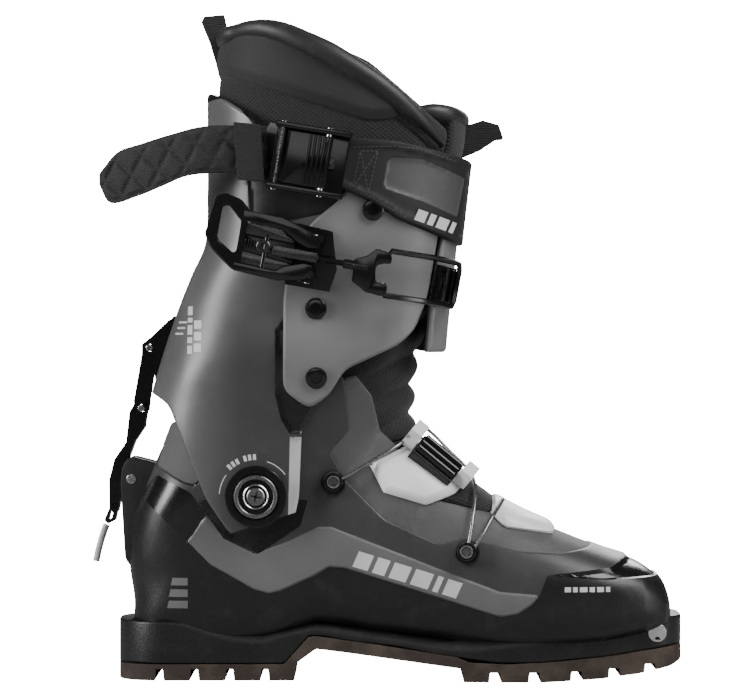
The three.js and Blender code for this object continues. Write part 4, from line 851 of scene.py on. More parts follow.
def shell():
    """The shell with its painted zones, the welt round its sole, the latch's two ears and the marks."""
    kept = arc_outline(SHELL_KEPT, 3.0)
    body = skin(
        "shell_body", FOOT, within(kept), SHELL, SHELL_WALL, relief=shell_relief, rows=210, columns=200,
        creases=(within(STRIPE), within(STRIPE, STRIPE_BEVEL), within(NOSE), within(NOSE, NOSE_DEPTH),
                 within(SOFT_BACK, GROOVE_HALF), within(SOFT_BACK), within(SOFT_BACK, -GROOVE_HALF)))
    p = vertices_mm(body)
    away = np.where(p[:, 1] < 2, 0, -5)  # keeps the outer side's paint off the inner side
    store(body, "stripe", inside(p, STRIPE) + away)
    store(body, "above", inside(p, ABOVE) + away)
    store(body, "gloss", inside(p, GLOSS) + away)
    store(body, "nose", inside(p, NOSE))
    store(body, "soft", inside(p, SOFT_BACK))
    store(body, "seam", 0.45 - np.abs(inside(p, SOFT_BACK)))
    # painted shadow: black on the shell within 4.2 mm of the cuff's outline, from x = -30 forward and below z
    # = 95
    store(body, "rim", np.minimum(inside(p, REAR) + 4.2, np.minimum(p[:, 0] + 30, 95 - p[:, 2])) + away)
    ends = 1 - np.cos(np.linspace(0, math.pi / 2, 14))
    welt = beam("welt", np.concatenate([-73.5 + 26 * ends, np.linspace(-44, 198, 120), 223.5 - 22 * ends]),
                plan_half, level_along(WELT_LOW), level_along(WELT_TOP), level_along(WELT_ROUND), LUGS)
    ears = [plate("ear", [(-50, 112), (-56, 114), (-68, 117), (-72, 112), (-73, 103), (-70.5, 62), (-60, 50),
                          (-50, 70)], *span, LUGS, 0.8, corner=3.0) for span in ((-13, -8), (8, 13))]
    done(joined("shell_shown", body, welt, *ears), "shell", "lower_shell")
    letters = bars((50, 60.4), (109, 42.4), 8.6, (8.2, 6.6, 9.2, 9.6, 3.0, 7.6), 2.4, 0.12)
    stacked = [[(-47 + k, 38 + 6 * k), (-36, 38 + 6 * k), (-36, 42 + 6 * k), (-46 + k, 42 + 6 * k)]
               for k in (0, 1, 2)]
    done(marks("stripe_marks", FOOT, letters, MARK_FINISH, STRIPE_RISE + PAINT), "shell",
         slot="shell_black")
    done(marks("heel_marks", FOOT, stacked, FAINT_FINISH, PAINT), "shell", slot="shell_black")
    small = bars((160, 47.6), (186, 47.6), 2.6, (3.2, 2.4, 4.0, 2.8, 3.6, 2.2), 1.1)
    done(marks("toe_marks", FOOT, small, MARK_FINISH, PAINT), "shell", slot="shell_black")


def plan_half(x):
    """Half the sole's width at x: round at the heel and toe, waisted under the arch."""
    x = np.asarray(x, float)
    waist = np.interp(x, [-47, 30, 60, 95, 130, 150, 180, 201], [34.5, 33.5, 34.5, 42, 45, 45, 39.5, 34.5])
    heel = 34.5 - 26 * (1 - np.sqrt(np.clip(1 - (np.clip(-47.5 - x, 0, 26) / 26) ** 2, 0, 1)))
    toe = 34.5 - 22 * (1 - np.sqrt(np.clip(1 - (np.clip(x - 201.5, 0, 22) / 22) ** 2, 0, 1)))
    return np.minimum(waist, np.where(x < 0, heel, np.where(x > 201, toe, 99)))


def beam(name, xs, half, low, high, top, finish, bottom=1.2):
    """A bar along x whose section is a rectangle from -half(x) to half(x) and low(x) to high(x), with
    its upper corners rounded by top(x) and its lower ones by bottom."""
    xs = np.unique(np.round(xs, 3))
    h, a, b, above = half(xs), low(xs), high(xs), top(xs)
    above = np.minimum(above, (b - a) * 0.7)
    t = np.linspace(0, math.pi / 2, 6)
    rows = []
    for side, upper, angles in ((1, False, -t[::-1]), (1, True, t), (-1, True, t[::-1]), (-1, False, -t)):
        radius = above if upper else np.full(xs.shape, bottom)
        middle = b - radius if upper else a + radius
        for angle in angles:
            rows.append(np.stack([xs, side * (h - radius + radius * math.cos(angle)),
                                  middle + radius * math.sin(angle)], 1))
    return piece(name, np.stack(rows, 1).reshape(-1, 3), rings_closed(len(xs), len(rows)), finish, 35)


GAITER_TOP = [(165, 92), (158.5, 84.1), (137.6, 85.2), (114, 90.4), (91, 96), (78, 110), (74, 123)]


def lapped(line, distance):
    """A line moved to its left by a distance."""
    p = np.asarray(line, float)
    run = np.gradient(p, axis=0)
    run /= np.linalg.norm(run, axis=1, keepdims=True)
    return p + np.stack([-run[:, 1], run[:, 0]], 1) * distance


def gaiter():
    """The soft gaiter over the instep and the padded tongue that fills its opening."""
    kept = np.array([*lapped(LAP, -1.5)[:-1].tolist(), (182, 72), *GAITER_TOP, (65, 131), (60.5, 149.5),
                     (52, 160)])
    made = skin("gaiter_shown", FOOT, within(kept), GAITER_FINISH, CLOTH_WALL, grow=-0.8, rows=150,
                columns=180, edge=(1.2, 0.8))
    done(made, "shell", "gaiter")
    tongue = np.array([*[(x + 0.3, z + 0.6) for x, z in GAITER_TOP], (75, 124), (110, 135), (165, 100)])

    def bulge(p):
        return 2.2 * smooth(inside(p, tongue), 0.0, 7.0)

    made = skin("forefoot_tongue_shown", FOOT, within(tongue), LINER_FINISH, CLOTH_WALL, grow=-0.8,
                relief=bulge, rows=150, columns=180, edge=(1.6, 1.2))
    threads(made)
    done(made, "shell", "forefoot_tongue")


def threads(obj):
    """The run and rise, in mm, that a woven finish follows: across and along the boot's side."""
    p = vertices_mm(obj)
    reach = np.arctan2(p[:, 1], p[:, 0] - 35) * 45
    store(obj, "run", reach)
    store(obj, "rise", p[:, 2])


# ---------------------------------------------------------------- the cuff
PANEL = [(-6.4, 288.6), (-2.7, 237.5), (7.6, 237.5), (43.7, 245.2), (56.6, 259.7), (46.3, 276.2)]
# The pale zone on the cuff's front edge by the pivot is a painted highlight, where its facet catches the
# light.
HIGHLIGHT_STRIP = [(17.7, 127.9), (23.9, 127.9), (22.9, 84.9), (16.7, 84.9)]
# The black zone on the rear cuff's front edge is a painted shadow under the front flap's edge.
FRONT_SHADOW = [(17.8, 198.9), (17.8, 193.7), (10, 183.4), (10, 149.7), (13.1, 136.8), (17.8, 129), (30, 129),
               (44, 160), (40, 199)]
SPOILER = [(-40, 303.5), (-25.5, 303.7), (-18.4, 304.5), (-14.5, 302.9), (-8.2, 298.2), (-1.9, 290.3),
           (4, 285),
           (14, 300), (-27, 314), (-40, 314)]


def rear_cuff():
    """The cuff's rear half, with shallow hollows at its panel, strip and front edge. The panel is darker, the
    strip's pale paint is a painted highlight, the front edge's black is a painted shadow, and the lower front
    is darkened with painted shade.
    """
    kept = arc_outline(REAR, 4.0)

    def relief(p):
        side = smooth(np.abs(p[:, 1]), 8, 20)
        hollow = 0.8 * np.clip(inside(p, PANEL) / 1.2, 0, 1)
        strip = 1.0 * np.clip(inside(p, HIGHLIGHT_STRIP) / 1.5, 0, 1)
        shade = 1.0 * np.clip(inside(p, FRONT_SHADOW) / 2.0, 0, 1)
        return -(hollow + strip + shade) * side

    made = skin("rear_cuff_shown", CUFF, within(kept), CUFF_FINISH, CUFF_WALL, relief=relief, rows=190,
                columns=230, edge=(1.4, 0.9), creases=(within(PANEL), within(PANEL, 1.2),
                                                       within(FRONT_SHADOW), within(FRONT_SHADOW, 2)))
    p = vertices_mm(made)
    # painted shade, darker towards the cuff's lower front
    shaded_low_front = smooth(p[:, 0], -38, -4) * smooth(-p[:, 2], -225, -165)
    store(made, "painted_shade", (shaded_low_front * 1.7 - 1) * 0.12)
    store(made, "panel", inside(p, PANEL))
    # the pale zone on the front edge's facet is a painted highlight
    store(made, "strip", inside(p, HIGHLIGHT_STRIP))
    # the black zone by the front edge is a painted shadow under the front flap
    store(made, "shade", inside(p, FRONT_SHADOW))
    store(made, "spoiler", inside(p, SPOILER))
    done(made, "cuff", "rear_cuff")


FLAP_BACK = [(57, 268), (43, 250), (30, 240), (17, 225), (14.1, 199), (14.1, 152.3), (24, 145), (29, 143),
             (38.4, 149.7), (46.2, 162.6), (74.7, 175.6)]


def flaps():
    """The two front flaps, the inner one running over the outer one at the shin."""
    outer = arc_outline([(66, 280), *FLAP_BACK, (83.5, 183.5), (90, 200), (96, 234), (100, 276)], 5)
    inner = arc_outline([(66, 280), *FLAP_BACK, (93, 172), (120, 172), (130, 272), (112, 272)], 5)
    lap = np.array([(98.4, 234), (92.6, 202), (90, 172), (120, 172), (130, 272), (102, 272)])
    made = skin("front_cuff_outer_shown", CUFF, lambda p: np.minimum(inside(p, outer), -p[:, 1]), FLAP_FINISH,
                FLAP_WALL, grow=FLAP_OUT, rows=150, columns=260, turn=(-math.pi * 0.8, 0.02), edge=(1.6, 1.3))
    done(made, "cuff", "front_cuff_outer")

    def keep_inner(p):
        return np.maximum(np.minimum(inside(p, inner), p[:, 1]), np.minimum(inside(p, lap), 3 - p[:, 1]))

    made = skin("front_cuff_inner_shown", CUFF, keep_inner, FLAP_FINISH, FLAP_WALL, grow=FLAP_OUT, rows=150,
                columns=260, turn=(-math.pi * 0.5, math.pi * 0.8), edge=(1.6, 1.3))
    done(made, "cuff", "front_cuff_inner")


# ---------------------------------------------------------------- the liner
LEG_EDGE = [(-90, 152), (-42, 152.5), (-8, 169.5), (14, 180.5), (40, 184), (62, 192), (95, 215)]
LEG_TOP = [(200, 300), (120, 300), (108, 283), (59, 323), (12, 342.6), (-9, 341.4), (-31, 329), (-100, 329)]


def liner():
    """The liner's leg, its folds at the ankle, the panel and roll at its top, and the tongue."""
    kept = arc_outline([*LEG_EDGE, *LEG_TOP], 6)

    def padding(p):
        depth = from_line(p, LEG_TOP[1:])
        roll = 1.6 * np.sqrt(np.clip(1 - ((depth - 7) / 7) ** 2, 0, 1))
        seam = -0.7 * np.exp(-((depth - 15.0) / 0.9) ** 2)
        return roll + seam

    leg = skin("liner_leg_shown", LINER, within(kept), LINER_FINISH, LINER_WALL, relief=padding, rows=170,
               columns=220, edge=(3.0, 2.4), angle=50)
    threads(leg)
    done(leg, "cuff", "liner_leg")

    flex = np.array([(-90, 111.6), (0, 103.6), (40, 115.6), (104.5, 134.6), (118, 134.6),
                     *[(x + 0.5, z - 0.6) for x, z in LEG_EDGE[::-1]]])

    def folds(p):
        """Bellows over the front of the ankle: a rectified cosine down the shin, 15 mm a fold."""
        front = smooth(p[:, 0], 45, 70)
        return front * 4.0 * (np.abs(np.cos((p[:, 2] - 0.5 * p[:, 0] - 92) * math.pi / 15)) - 0.6)

    made = skin("liner_flex_shown", LINER, within(flex), LINER_FINISH, LINER_WALL, grow=-0.2, relief=folds,
                rows=170, columns=200, edge=(1.0, 0.8), angle=50)
    threads(made)
    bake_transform(made)
    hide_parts("liner_flex")

    panel = arc_outline([(-31, 321), (-22, 318), (-11.5, 314.3), (9.3, 307.3), (38.2, 297.8), (57.6, 291.5),
                         (70.6, 292), (78, 296), (77, 303), (52, 322), (25, 337), (5, 345), (-10, 345),
                         (-28, 334)], 3)

    def pillow(p):
        return 2.0 * smooth(inside(p, panel), 0.0, 7.0) - 0.6

    made = skin("liner_panel", LINER, lambda p: np.minimum(inside(p, panel), inside(p, kept) - 2), PAD_FINISH,
                1.5, grow=1.5, relief=pillow, rows=150, columns=220, edge=(1.2, 1.0), angle=50,
                span=(0.7, 1.0))
    threads(made)
    done(made, "cuff", slot="liner_fabric")
    sides = [seats(LINER, [(97, 281), (86, 292), (75, 301.5), (62, 311.5), (50, 319), (37, 326.5),
                           (25, 332.5),
                           (14, 337.5), (5, 340), (-4, 340.5), (-10, 339.5)], side, 0.8)[0]
             for side in (-1, 1)]
    back = [(-15.5, -25, 338.5), (-18, -12, 337.5), (-18.5, 0, 337), (-18, 12, 337.5), (-15.5, 25, 338.5)]
    path = smooth_path([*sides[0], *back, *sides[1][::-1]], 190)
    radius = np.interp(np.abs(np.linspace(-1, 1, 190)), [0, 0.3, 0.45, 0.62, 0.85, 1],
                       [4.4, 4.4, 5.6, 6.6, 5.2, 2.6])
    done(tube("liner_roll", path, radius, ROLL_FINISH, 20), "cuff", slot="liner_fabric")

    tongue = np.array([(90, 226), (90, 299), (110, 296), (140, 291), (140, 226)])
    made = skin("liner_tongue_shown", LINER, lambda p: np.minimum(inside(p, tongue), 31 - np.abs(p[:, 1])),
                LINER_FINISH, 3.6, grow=4, rows=150, columns=220, turn=(-1.5, 1.5), edge=(2.4, 1.8), angle=50)
    threads(made)
    done(made, "cuff", "liner_tongue")
    half = [(80, -36, 296.5), (90, -34, 297.5), (100, -28, 296.8), (105.5, -16, 295.6), (107.5, 0, 295)]
    path = smooth_path([*half, *[(x, -y, z) for x, y, z in half[-2::-1]]], 70)
    radius = np.interp(np.abs(np.linspace(-1, 1, 70)), [0, 0.7, 1], [4.6, 4.6, 2.6])
    done(tube("tongue_roll", path, radius, ROLL_FINISH, 20), "cuff", slot="liner_fabric")


# ---------------------------------------------------------------- straps, plates and hardware
STRAP = [(40, 283), (73, 281), (111.4, 272.7), (130, 268), (130, 224), (104.5, 229.4), (75, 240.4),
         (60, 249.6)]
STRAP_INNER = [(-8, 281), *STRAP, (40, 254), (-8, 252)]
WINDOW = [(66.2, 259.1), (68.4, 270.9), (71.8, 272.3), (86.5, 271.5), (109, 263), (104.8, 242.7), (86.5, 250),
          (67.3, 256.2)]
TAIL_TOP = [(6, 288.2), (-3, 288.5), (-27, 288.3), (-44, 284.4), (-60, 279.8), (-72, 276), (-82, 265)]
TAIL_LOW = [(6, 260.5), (2, 263), (-33.6, 263), (-48.4, 257.6), (-60.8, 252.9), (-76, 249.6), (-82, 259)]
TAIL_OUT = [-62, -62.6, -60, -55.5, -50, -44, -40.5]
TAIL_ROWS, TAIL_COLUMNS, QUILT = 150, 46, 11.5
HEM = 0.5  # the strap's hem above its middle


def stitches(*lines, pitch=2.3, length=1.5, width=0.5):
    """Short four-sided marks, one for each stitch along the lines."""
    made = []
    for line in lines:
        p = np.asarray(line, float)
        run = np.concatenate([[0], np.cumsum(np.linalg.norm(np.diff(p, axis=0), axis=1))])
        for start in np.arange(0.6, run[-1] - length, pitch):
            a, b = (np.array([np.interp(t, run, p[:, k]) for k in (0, 1)]) for t in (start, start + length))
            off = np.array([a[1] - b[1], b[0] - a[0]]) / length * width / 2
            made.append([a - off, b - off, b + off, a + off])
    return made


def strap_tail():
    """The strap's free end: a padded strip quilted in diamonds by two families of sewn lines."""
    t = np.linspace(0, 1, TAIL_ROWS)
    top, low = catmull(TAIL_TOP, t), catmull(TAIL_LOW, t)
    out = catmull([(i, y) for i, y in enumerate(TAIL_OUT)], t)[:, 1]
    w = np.linspace(0, 1, TAIL_COLUMNS)
    flat = low[:, None] * (1 - w)[None, :, None] + top[:, None] * w[None, :, None]
    x, z = flat[..., 0], flat[..., 1]
    steep, shallow = z * 0.46 - x * 0.89, z * 0.75 + x * 0.66
    near = np.minimum(*(np.abs((line / QUILT) % 1.0 - 0.5) * QUILT for line in (steep, shallow)))
    edge = np.minimum(np.minimum(w, 1 - w)[None, :] * 27, (1 - t)[:, None] * 90)
    puff = 1.1 * (1 - np.exp(-((near / 1.6) ** 2))) * smooth(edge, 1.6, 3.4) + 0.5 * smooth(edge, 0, 0.8)
    front = np.stack([x, out[:, None] - puff, z], -1).reshape(-1, 3)
    back = np.stack([x, np.broadcast_to(out[:, None] + 1.4, x.shape), z], -1).reshape(-1, 3)
    tri, n = grid(TAIL_ROWS, TAIL_COLUMNS), TAIL_ROWS * TAIL_COLUMNS
    down, across = np.arange(TAIL_ROWS - 1) * TAIL_COLUMNS, np.arange(TAIL_COLUMNS - 1)
    rim = np.concatenate([across, down + TAIL_COLUMNS - 1, n - 1 - across, n - TAIL_COLUMNS - down])
    after = np.roll(rim, -1)
    sides = np.stack([rim, after, after + n, rim + n], 1)
    made = piece("strap_tail_shown", np.concatenate([front, back]),
                 [*tri.tolist(), *(tri[:, ::-1] + n).tolist(), *sides.tolist()], WEB_FINISH, 60)
    threads(made)
    done(made, "cuff", "strap_tail")


def straps():
    """The power strap with its hem, window and stitching, and its free end."""
    outer, inner = np.array([*STRAP, (40, 258)]), np.array(STRAP_INNER)

    def keep(p):
        return np.maximum(np.minimum(inside(p, outer), 3 - p[:, 1]), np.minimum(inside(p, inner), p[:, 1]))

    def relief(p):
        side = p[:, 1] < 0
        return HEM * smooth(4.2 - keep(p), 0, 0.5) - 0.7 * smooth(inside(p, WINDOW), 0, 0.7) * side

    made = skin("power_strap_shown", CUFF, keep, STRAP_FINISH, CLOTH_WALL, grow=STRAP_OUT, rows=150,
                columns=240,
                turn=(-2.2, 2.4), edge=(0.8, 0.7), angle=50, relief=relief,
                creases=(within(WINDOW), lambda p: keep(p) - 3.9))
    p = vertices_mm(made)
    store(made, "window", inside(p, WINDOW) - np.where(p[:, 1] < 0, 0, 50))
    threads(made)
    done(made, "cuff", "power_strap")
    box = [(54.3, 275.4), (63.3, 275.4), (58.3, 254), (50.4, 256.9)]
    lines = stitches([*box, box[0]], [box[0], box[2]], [box[1], box[3]],
                     [(50, 277.4), (73, 278), (86, 276.6), (106, 270.6)], [(54, 255), (76, 242.4), (80, 241)])
    done(marks("strap_stitches", CUFF, lines, THREAD_FINISH, STRAP_OUT + HEM + 0.05), "cuff",
         slot="webbing_black")
    names = bars((82, 240.4), (103, 233.6), 6.0, (5.4, 3.2, 5.8, 2.4), 1.5, 0.1)
    done(marks("strap_marks", CUFF, names, MARK_FINISH, STRAP_OUT + HEM + 0.05), "cuff", slot="webbing_black")
    strap_tail()


def plates():
    """The pale instep and toe plates."""
    instep = np.array([(60.2, 114.4), (67, 99.8), (89, 93.5), (111.5, 103), (124, 112), (104, 134), (88, 128),
                       (76, 123)])
    toe = np.array([(123.1, 90), (126.3, 112), (140, 100), (158.8, 90), (159.8, 83.9), (154.6, 80.2),
                    (130, 83.3)])
    made = skin("instep_plate_shown", FOOT, lambda p: np.minimum(inside(p, instep), 10 - p[:, 1]),
                PLATE_FINISH,
                3.2, grow=INSTEP_OUT, rows=200, columns=200, edge=(3.4, 2.4))
    done(made, "shell", "instep_plate")
    made = skin("toe_plate_shown", FOOT, lambda p: np.minimum(inside(p, toe), 4 - p[:, 1]), PLATE_FINISH, 3.8,
                grow=TOE_OUT, rows=200, columns=200, edge=(3.4, 2.6))
    done(made, "shell", "toe_plate")


def cuff_marks():
    """The plain bars on the cuff's back, and the arcs and ticks round the pivot."""
    rows = [*bars((-33.5, 171), (-33.5, 200), 2.6, (4.2, 3.0, 5.0, 2.4, 4.6), 1.4),
            *bars((-28.6, 172), (-28.6, 196), 4.0, (4.4, 4.4, 4.4), 1.6),
            *[[(-43 + k, 181 + 3 * k), (-38.5 + k, 181 + 3 * k), (-38.5 + k, 182 + 3 * k),
               (-43 + k, 182 + 3 * k)]
              for k in range(3)]]
    done(marks("cuff_marks", CUFF, rows, MARK_FINISH, PAINT), "cuff", slot="cuff_grey")
    turns = []
    for start, end in ((144, 176), (37, 72)):
        angles = np.radians(np.linspace(start, end, 8))
        for a, b in zip(angles[:-1], angles[1:]):
            turns.append([(r * math.cos(t), PIVOT_Z + r * math.sin(t))
                          for t, r in ((a, 18.8), (b, 18.8), (b, 19.3), (a, 19.3))])
    for t in np.radians([92, 99, 106, 118, 125, 132]):
        c, q = math.cos(t), math.sin(t)
        turns.append([(r * c + k * q, PIVOT_Z + r * q - k * c)
                      for r, k in ((19, -0.8), (19, 0.8), (22, 0.8), (22, -0.8))])
    done(marks("range_marks", CUFF, turns, MARK_FINISH, PAINT), "cuff", slot="cuff_grey")


def joint_frame(name):
    """A frame round a joint's pin: u to the toe and square to the pin, v out of the boot's side, w up it."""
    joint = JOINTS[name]
    x, y, z = np.array(joint["pos_m"]) / MM
    return side_frame(x, y, z, math.atan2(joint["axis"][0], joint["axis"][2]))


def pivots():
    """The cuff's pivots: a dark dish, a turned ring, a bright bead and a cross-slotted screw."""
    for name, side in (("outer", -1), ("inner", 1)):
        place = side_frame(0, side * 46.5, PIVOT_Z, 0.25, side)
        dish = lathe("dish", [(16, 4.9), (16, 6.3), (15.5, 6.8), (12.3, 6.8), (11.7, 6.2), (9, 6.2)], place,
                     BLACK_METAL)
        ring = lathe("ring", [(11.2, 6.1), (11.2, 7.5), (10.8, 7.9), (9.6, 7.9), (9.1, 7.4), (9.1, 6.1)],
                     place,
                     GREY_METAL)
        bead = lathe("bead", [(6.6, 6.1), (6.6, 6.8), (6.2, 7.1), (5.8, 6.8), (5.8, 6.1)], place, STEEL)
        screw = lathe("screw", [(4.6, 6.1), (4.6, 7.3), (4.2, 7.6), (0.5, 7.6)], place, GREY_METAL)
        slots = [block("slot", size, BLACK_METAL, place, 0.1)
                 for size in ((-2.6, 2.6, 7.2, 7.66, -0.5, 0.5), (-0.5, 0.5, 7.2, 7.66, -2.6, 2.6))]
        done(joined(f"pivot_{name}", dish, ring, bead, screw, *slots), "shell", f"pivot_bolt_{name}")


def fasteners():
    """The cuff's socket-headed bolts and the cables' buttons."""
    for name, side in (("outer", -1), ("inner", 1)):
        for i, place in enumerate([(31.2, 194.3), (31.2, 159), (60.2, 245.6)]):
            point, normal = (v[0] for v in seats(CUFF, [place], side, 0))
            head = lathe(f"bolt_{name}_{i + 1}", [
                (2.2, -2.4), (2.2, 2.6), (5.6, 3.2), (5.6, 4.2), (5.2, 5.0), (4.2, 5.5), (2.7, 5.5),
                (2.4, 4.2), (0.4, 4.2)],
                normal_frame(point, normal), BLACK_METAL)
            done(head, "cuff", f"cuff_bolt_{name}_{i + 1}")
    for node in ("cable_anchor_rear", "cable_anchor_front"):
        low, high = (np.array(corner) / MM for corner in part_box(node))
        point, normal = (v[0] for v in seats(FOOT, [((low[0] + high[0]) / 2, (low[2] + high[2]) / 2)], -1, 0))
        button = lathe(node + "_shown", [
            (6.3, -1), (6.3, 3.2), (5.8, 3.8), (3.6, 4.0), (3.4, 5.0), (4.9, 5.2), (4.9, 6.6), (4.4, 7.2),
            (2.4, 7.2),
            (2.1, 6.0), (0.4, 6.0)], normal_frame(point, normal), BLACK_METAL)
        rim = lathe("rim", [(3.3, 7.0), (3.3, 7.3), (3.0, 7.4), (2.6, 7.3), (2.5, 7.0)],
                    normal_frame(point, normal),
                    GREY_METAL)
        done(joined(node + "_shown", button, rim), "shell", node)


def strap_buckle():
    """The power strap's frame with its pins, and its ribbed cam, in a frame round the cam's pin."""
    place = joint_frame("cam_open")

    def rail(u0, u1, v0, v1, w0, w1, kind=BLACK_METAL, bevel=0.7):
        return block("rail", (u0 - 8, u1 - 8, v0 - 3.2, v1 - 3.2, w0, w1), kind, place, bevel)

    def pin(u, half, radius):
        ends = [place[0] + np.array([u - 8, 0, w]) @ place[1] for w in (-half, -half + 0.4, half - 0.4, half)]
        return tube("pin", ends, (radius * 0.6, radius, radius, radius * 0.6), STEEL, 18)

    sides = [rail(-20, 20, -0.6, 5.8, w, w + 3) for w in (-17.5, 14.5)]
    done(joined("strap_buckle_shown", *sides, rail(-19, 19, -0.9, 0.8, -15, 15),
                rail(-18, -14, 0.4, 4.6, -15, 15),
                pin(-16, 18.1, 1.5), pin(8, 18.1, 1.5)), "cuff", "strap_buckle")
    ribs = [rail(u, u + 1.4, 4.2, 6, -13, 13, bevel=0.5) for u in np.linspace(-1.6, 8.2, 5)]
    done(joined("strap_cam_shown", rail(-12.2, 10.4, 2.7, 4.8, -13.7, 13.7),
                rail(4, 10.4, 1.4, 3, -13.7, 13.7), *ribs,
                rail(10, 13.5, 2.6, 4.6, -3, 3, DARK_METAL)), "cam", "strap_cam")


def cables():
    """The instep's and the toe's wires, from their buttons over the plates."""
    for node, route, out in (
            ("instep_cable", [(42.5, 104.6), (48, 107.2), (60, 114), (74, 122.5), (83, 129.5), (90, 125),
                              (100, 116),
                              (108.5, 108), (111.4, 101), (112.6, 93), (112, 84), (111, 75), (110.2, 70.5)],
             4.6),
            ("toe_cable", [(111.5, 66), (114.5, 71), (118, 77), (122, 83.5), (127, 90.6)], 4.4)):
        points, normals = seats(FOOT, route, -1, 0)
        lift = np.interp(np.arange(len(route)), [0, 2, len(route) - 3, len(route) - 1], [out, 4.2, 4.2, out])
        path = smooth_path(points + normals * lift[:, None], 80)
        done(tube(node + "_shown", path, 0.95, GREY_METAL, 12), "shell", node)


def pull_cord():
    """The sleeved cord that hangs from the latch's ring."""
    path = smooth_path([(-81.2, 0, 80.1), (-82.6, 0, 76.5), (-85, 0, 68.5), (-86.8, 0, 60.5)], 18)
    done(tube("pull_cord_shown", path, 1.85, CORD_FINISH, 18), frame["nodes"]["pull_cord"]["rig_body"],
         "pull_cord")


LOOP_OUTER = [(-35.3, 19.1), (-40.3, 23.6), (-48.9, 25.6), (-53.5, 23.4), (-56.1, 2.8), (-51.7, -3.7),
              (-39, -12.8),
              (-35.3, -11.8)]
LOOP_INNER = [(-38.6, 12.8), (-40.5, 14.3), (-46.4, 19.6), (-49.5, 18.6), (-49.4, 2.3), (-47.5, 0.6),
              (-39.9, -4.2), (-38.4, -2.8)]


def buckle():
    """The cuff's lever, rod and base, in a frame round the lever's pivot."""
    place = joint_frame("buckle_open")

    def lifted(points):
        return [(u, w + 2.75) for u, w in points]

    def part(name, points, v0, v1, finish, bevel=0.5, corner=0.8):
        return plate(name, lifted(points), v0, v1, finish, bevel, place, corner)

    lever = [
        ring_plate("loop", LOOP_OUTER, LOOP_INNER, -0.6, 3.4, BLACK_METAL, 0.9, place, 1.6),
        part("arm", [(-38.5, 10.4), (-38.5, 16), (-18, 15.6), (-12, 13.9), (-6, 12), (-1, 10), (2.2, 7),
                     (2.2, 3),
                     (-3, 2.5), (-8.9, 4.8), (-13.9, 8), (-17.1, 10)], -1.2, 3.5, BLACK_METAL),
        part("arm", [(-39, -11.2), (-16.7, -12), (-13.6, -9.3), (-9.3, -7.6), (-3, -5.5), (1.8, -6),
                     (2.4, -9.5),
                     (-1, -13.5), (-15, -16.8), (-38.7, -15.6)], -1.2, 3.5, BLACK_METAL),
        part("cheek", [(-38.3, 10), (-17.1, 9.4), (-13.9, 6.8), (-8.9, 4.6), (-11.5, 3.6), (-36.7, 4.1)],
             -0.8,
             2.5, DARK_METAL, 0.3, 0.3),
        part("cheek", [(-38.6, -5.3), (-35, -5.1), (-13.1, -6.9), (-9.3, -7.8), (-15.8, -12), (-38.9, -11.2)],
             -0.8, 2.2, DARK_METAL, 0.3, 0.3),
        part("web", [(-38.5, 4.6), (-9, 4.2), (-9, -7), (-38.5, -5.6)], -1.1, 1.3, BLACK_METAL, 0.3, 0.3),
        *[part("tooth", [(u, -2.9), (u + 1.1, -2.9), (u + 1.1, 1.9), (u, 1.9)], 1.2, 2.0, BLACK_METAL, 0.2,
               0.2)
          for u in np.linspace(-37, -29, 6)],
        *[part("knuckle", [(-3.4, w), (3.4, w), (3.4, w + 3), (-3.4, w + 3)], -3.0, 3.2, BLACK_METAL, 0.8,
               0.8)
          for w in (3.6, -12)]]
    spring = lathe("spring", [(3.6, 1.2), (3.6, 2.2), (3.1, 2.6), (1.4, 2.6), (1.1, 1.9), (0.3, 1.9)],
                   (place[0] + np.array([-25.3, 0, 2.0]) @ place[1], place[1]), DARK_METAL, 32)
    done(joined("buckle_lever_shown", *lever, spring), "lever", "buckle_lever")
    rod = [
        block("tail", (-20.1, 3.2, -0.8, 3.6, -1.6, 3.7), DARK_METAL, place, 0.6),
        tube("screw", [place[0] + np.array([u, 1.2, 0.9]) @ place[1] for u in np.linspace(2, 30, 15)], 1.4,
             BLACK_METAL, 18),
        *[tube("thread", [place[0] + np.array([u + d, 1.2, 0.9]) @ place[1] for d in (0, 0.25, 0.5)],
               (1.45, 1.75, 1.45), BLACK_METAL, 18) for u in np.arange(4, 16.5, 0.75)],
        tube("barrel", [place[0] + np.array([u, 1.2, 0.9]) @ place[1] for u in (16.8, 17.2, 22, 22.3, 29.5)],
             (1.9, 2.5, 2.5, 2.9, 2.9), BLACK_METAL, 20),
        plate("fork", [(22, 4.2), (27.9, 6.9), (32.5, 11.5), (39.6, 10.5), (41, 8), (41, 5), (37.5, 4.6),
                       (34.1, 3.1),
                       (33.6, 0.8), (34.7, -5.2), (37.5, -5.6), (41, -6), (41.4, -10), (39, -12.2),
                       (30.3, -11.6),
                       (26.2, -9), (22.6, -7.4)], -1.4, 3.8, BLACK_METAL, 0.8, place, 1.0)]
    done(joined("buckle_rod_shown", *rod), frame["nodes"]["buckle_rod"]["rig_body"], "buckle_rod")


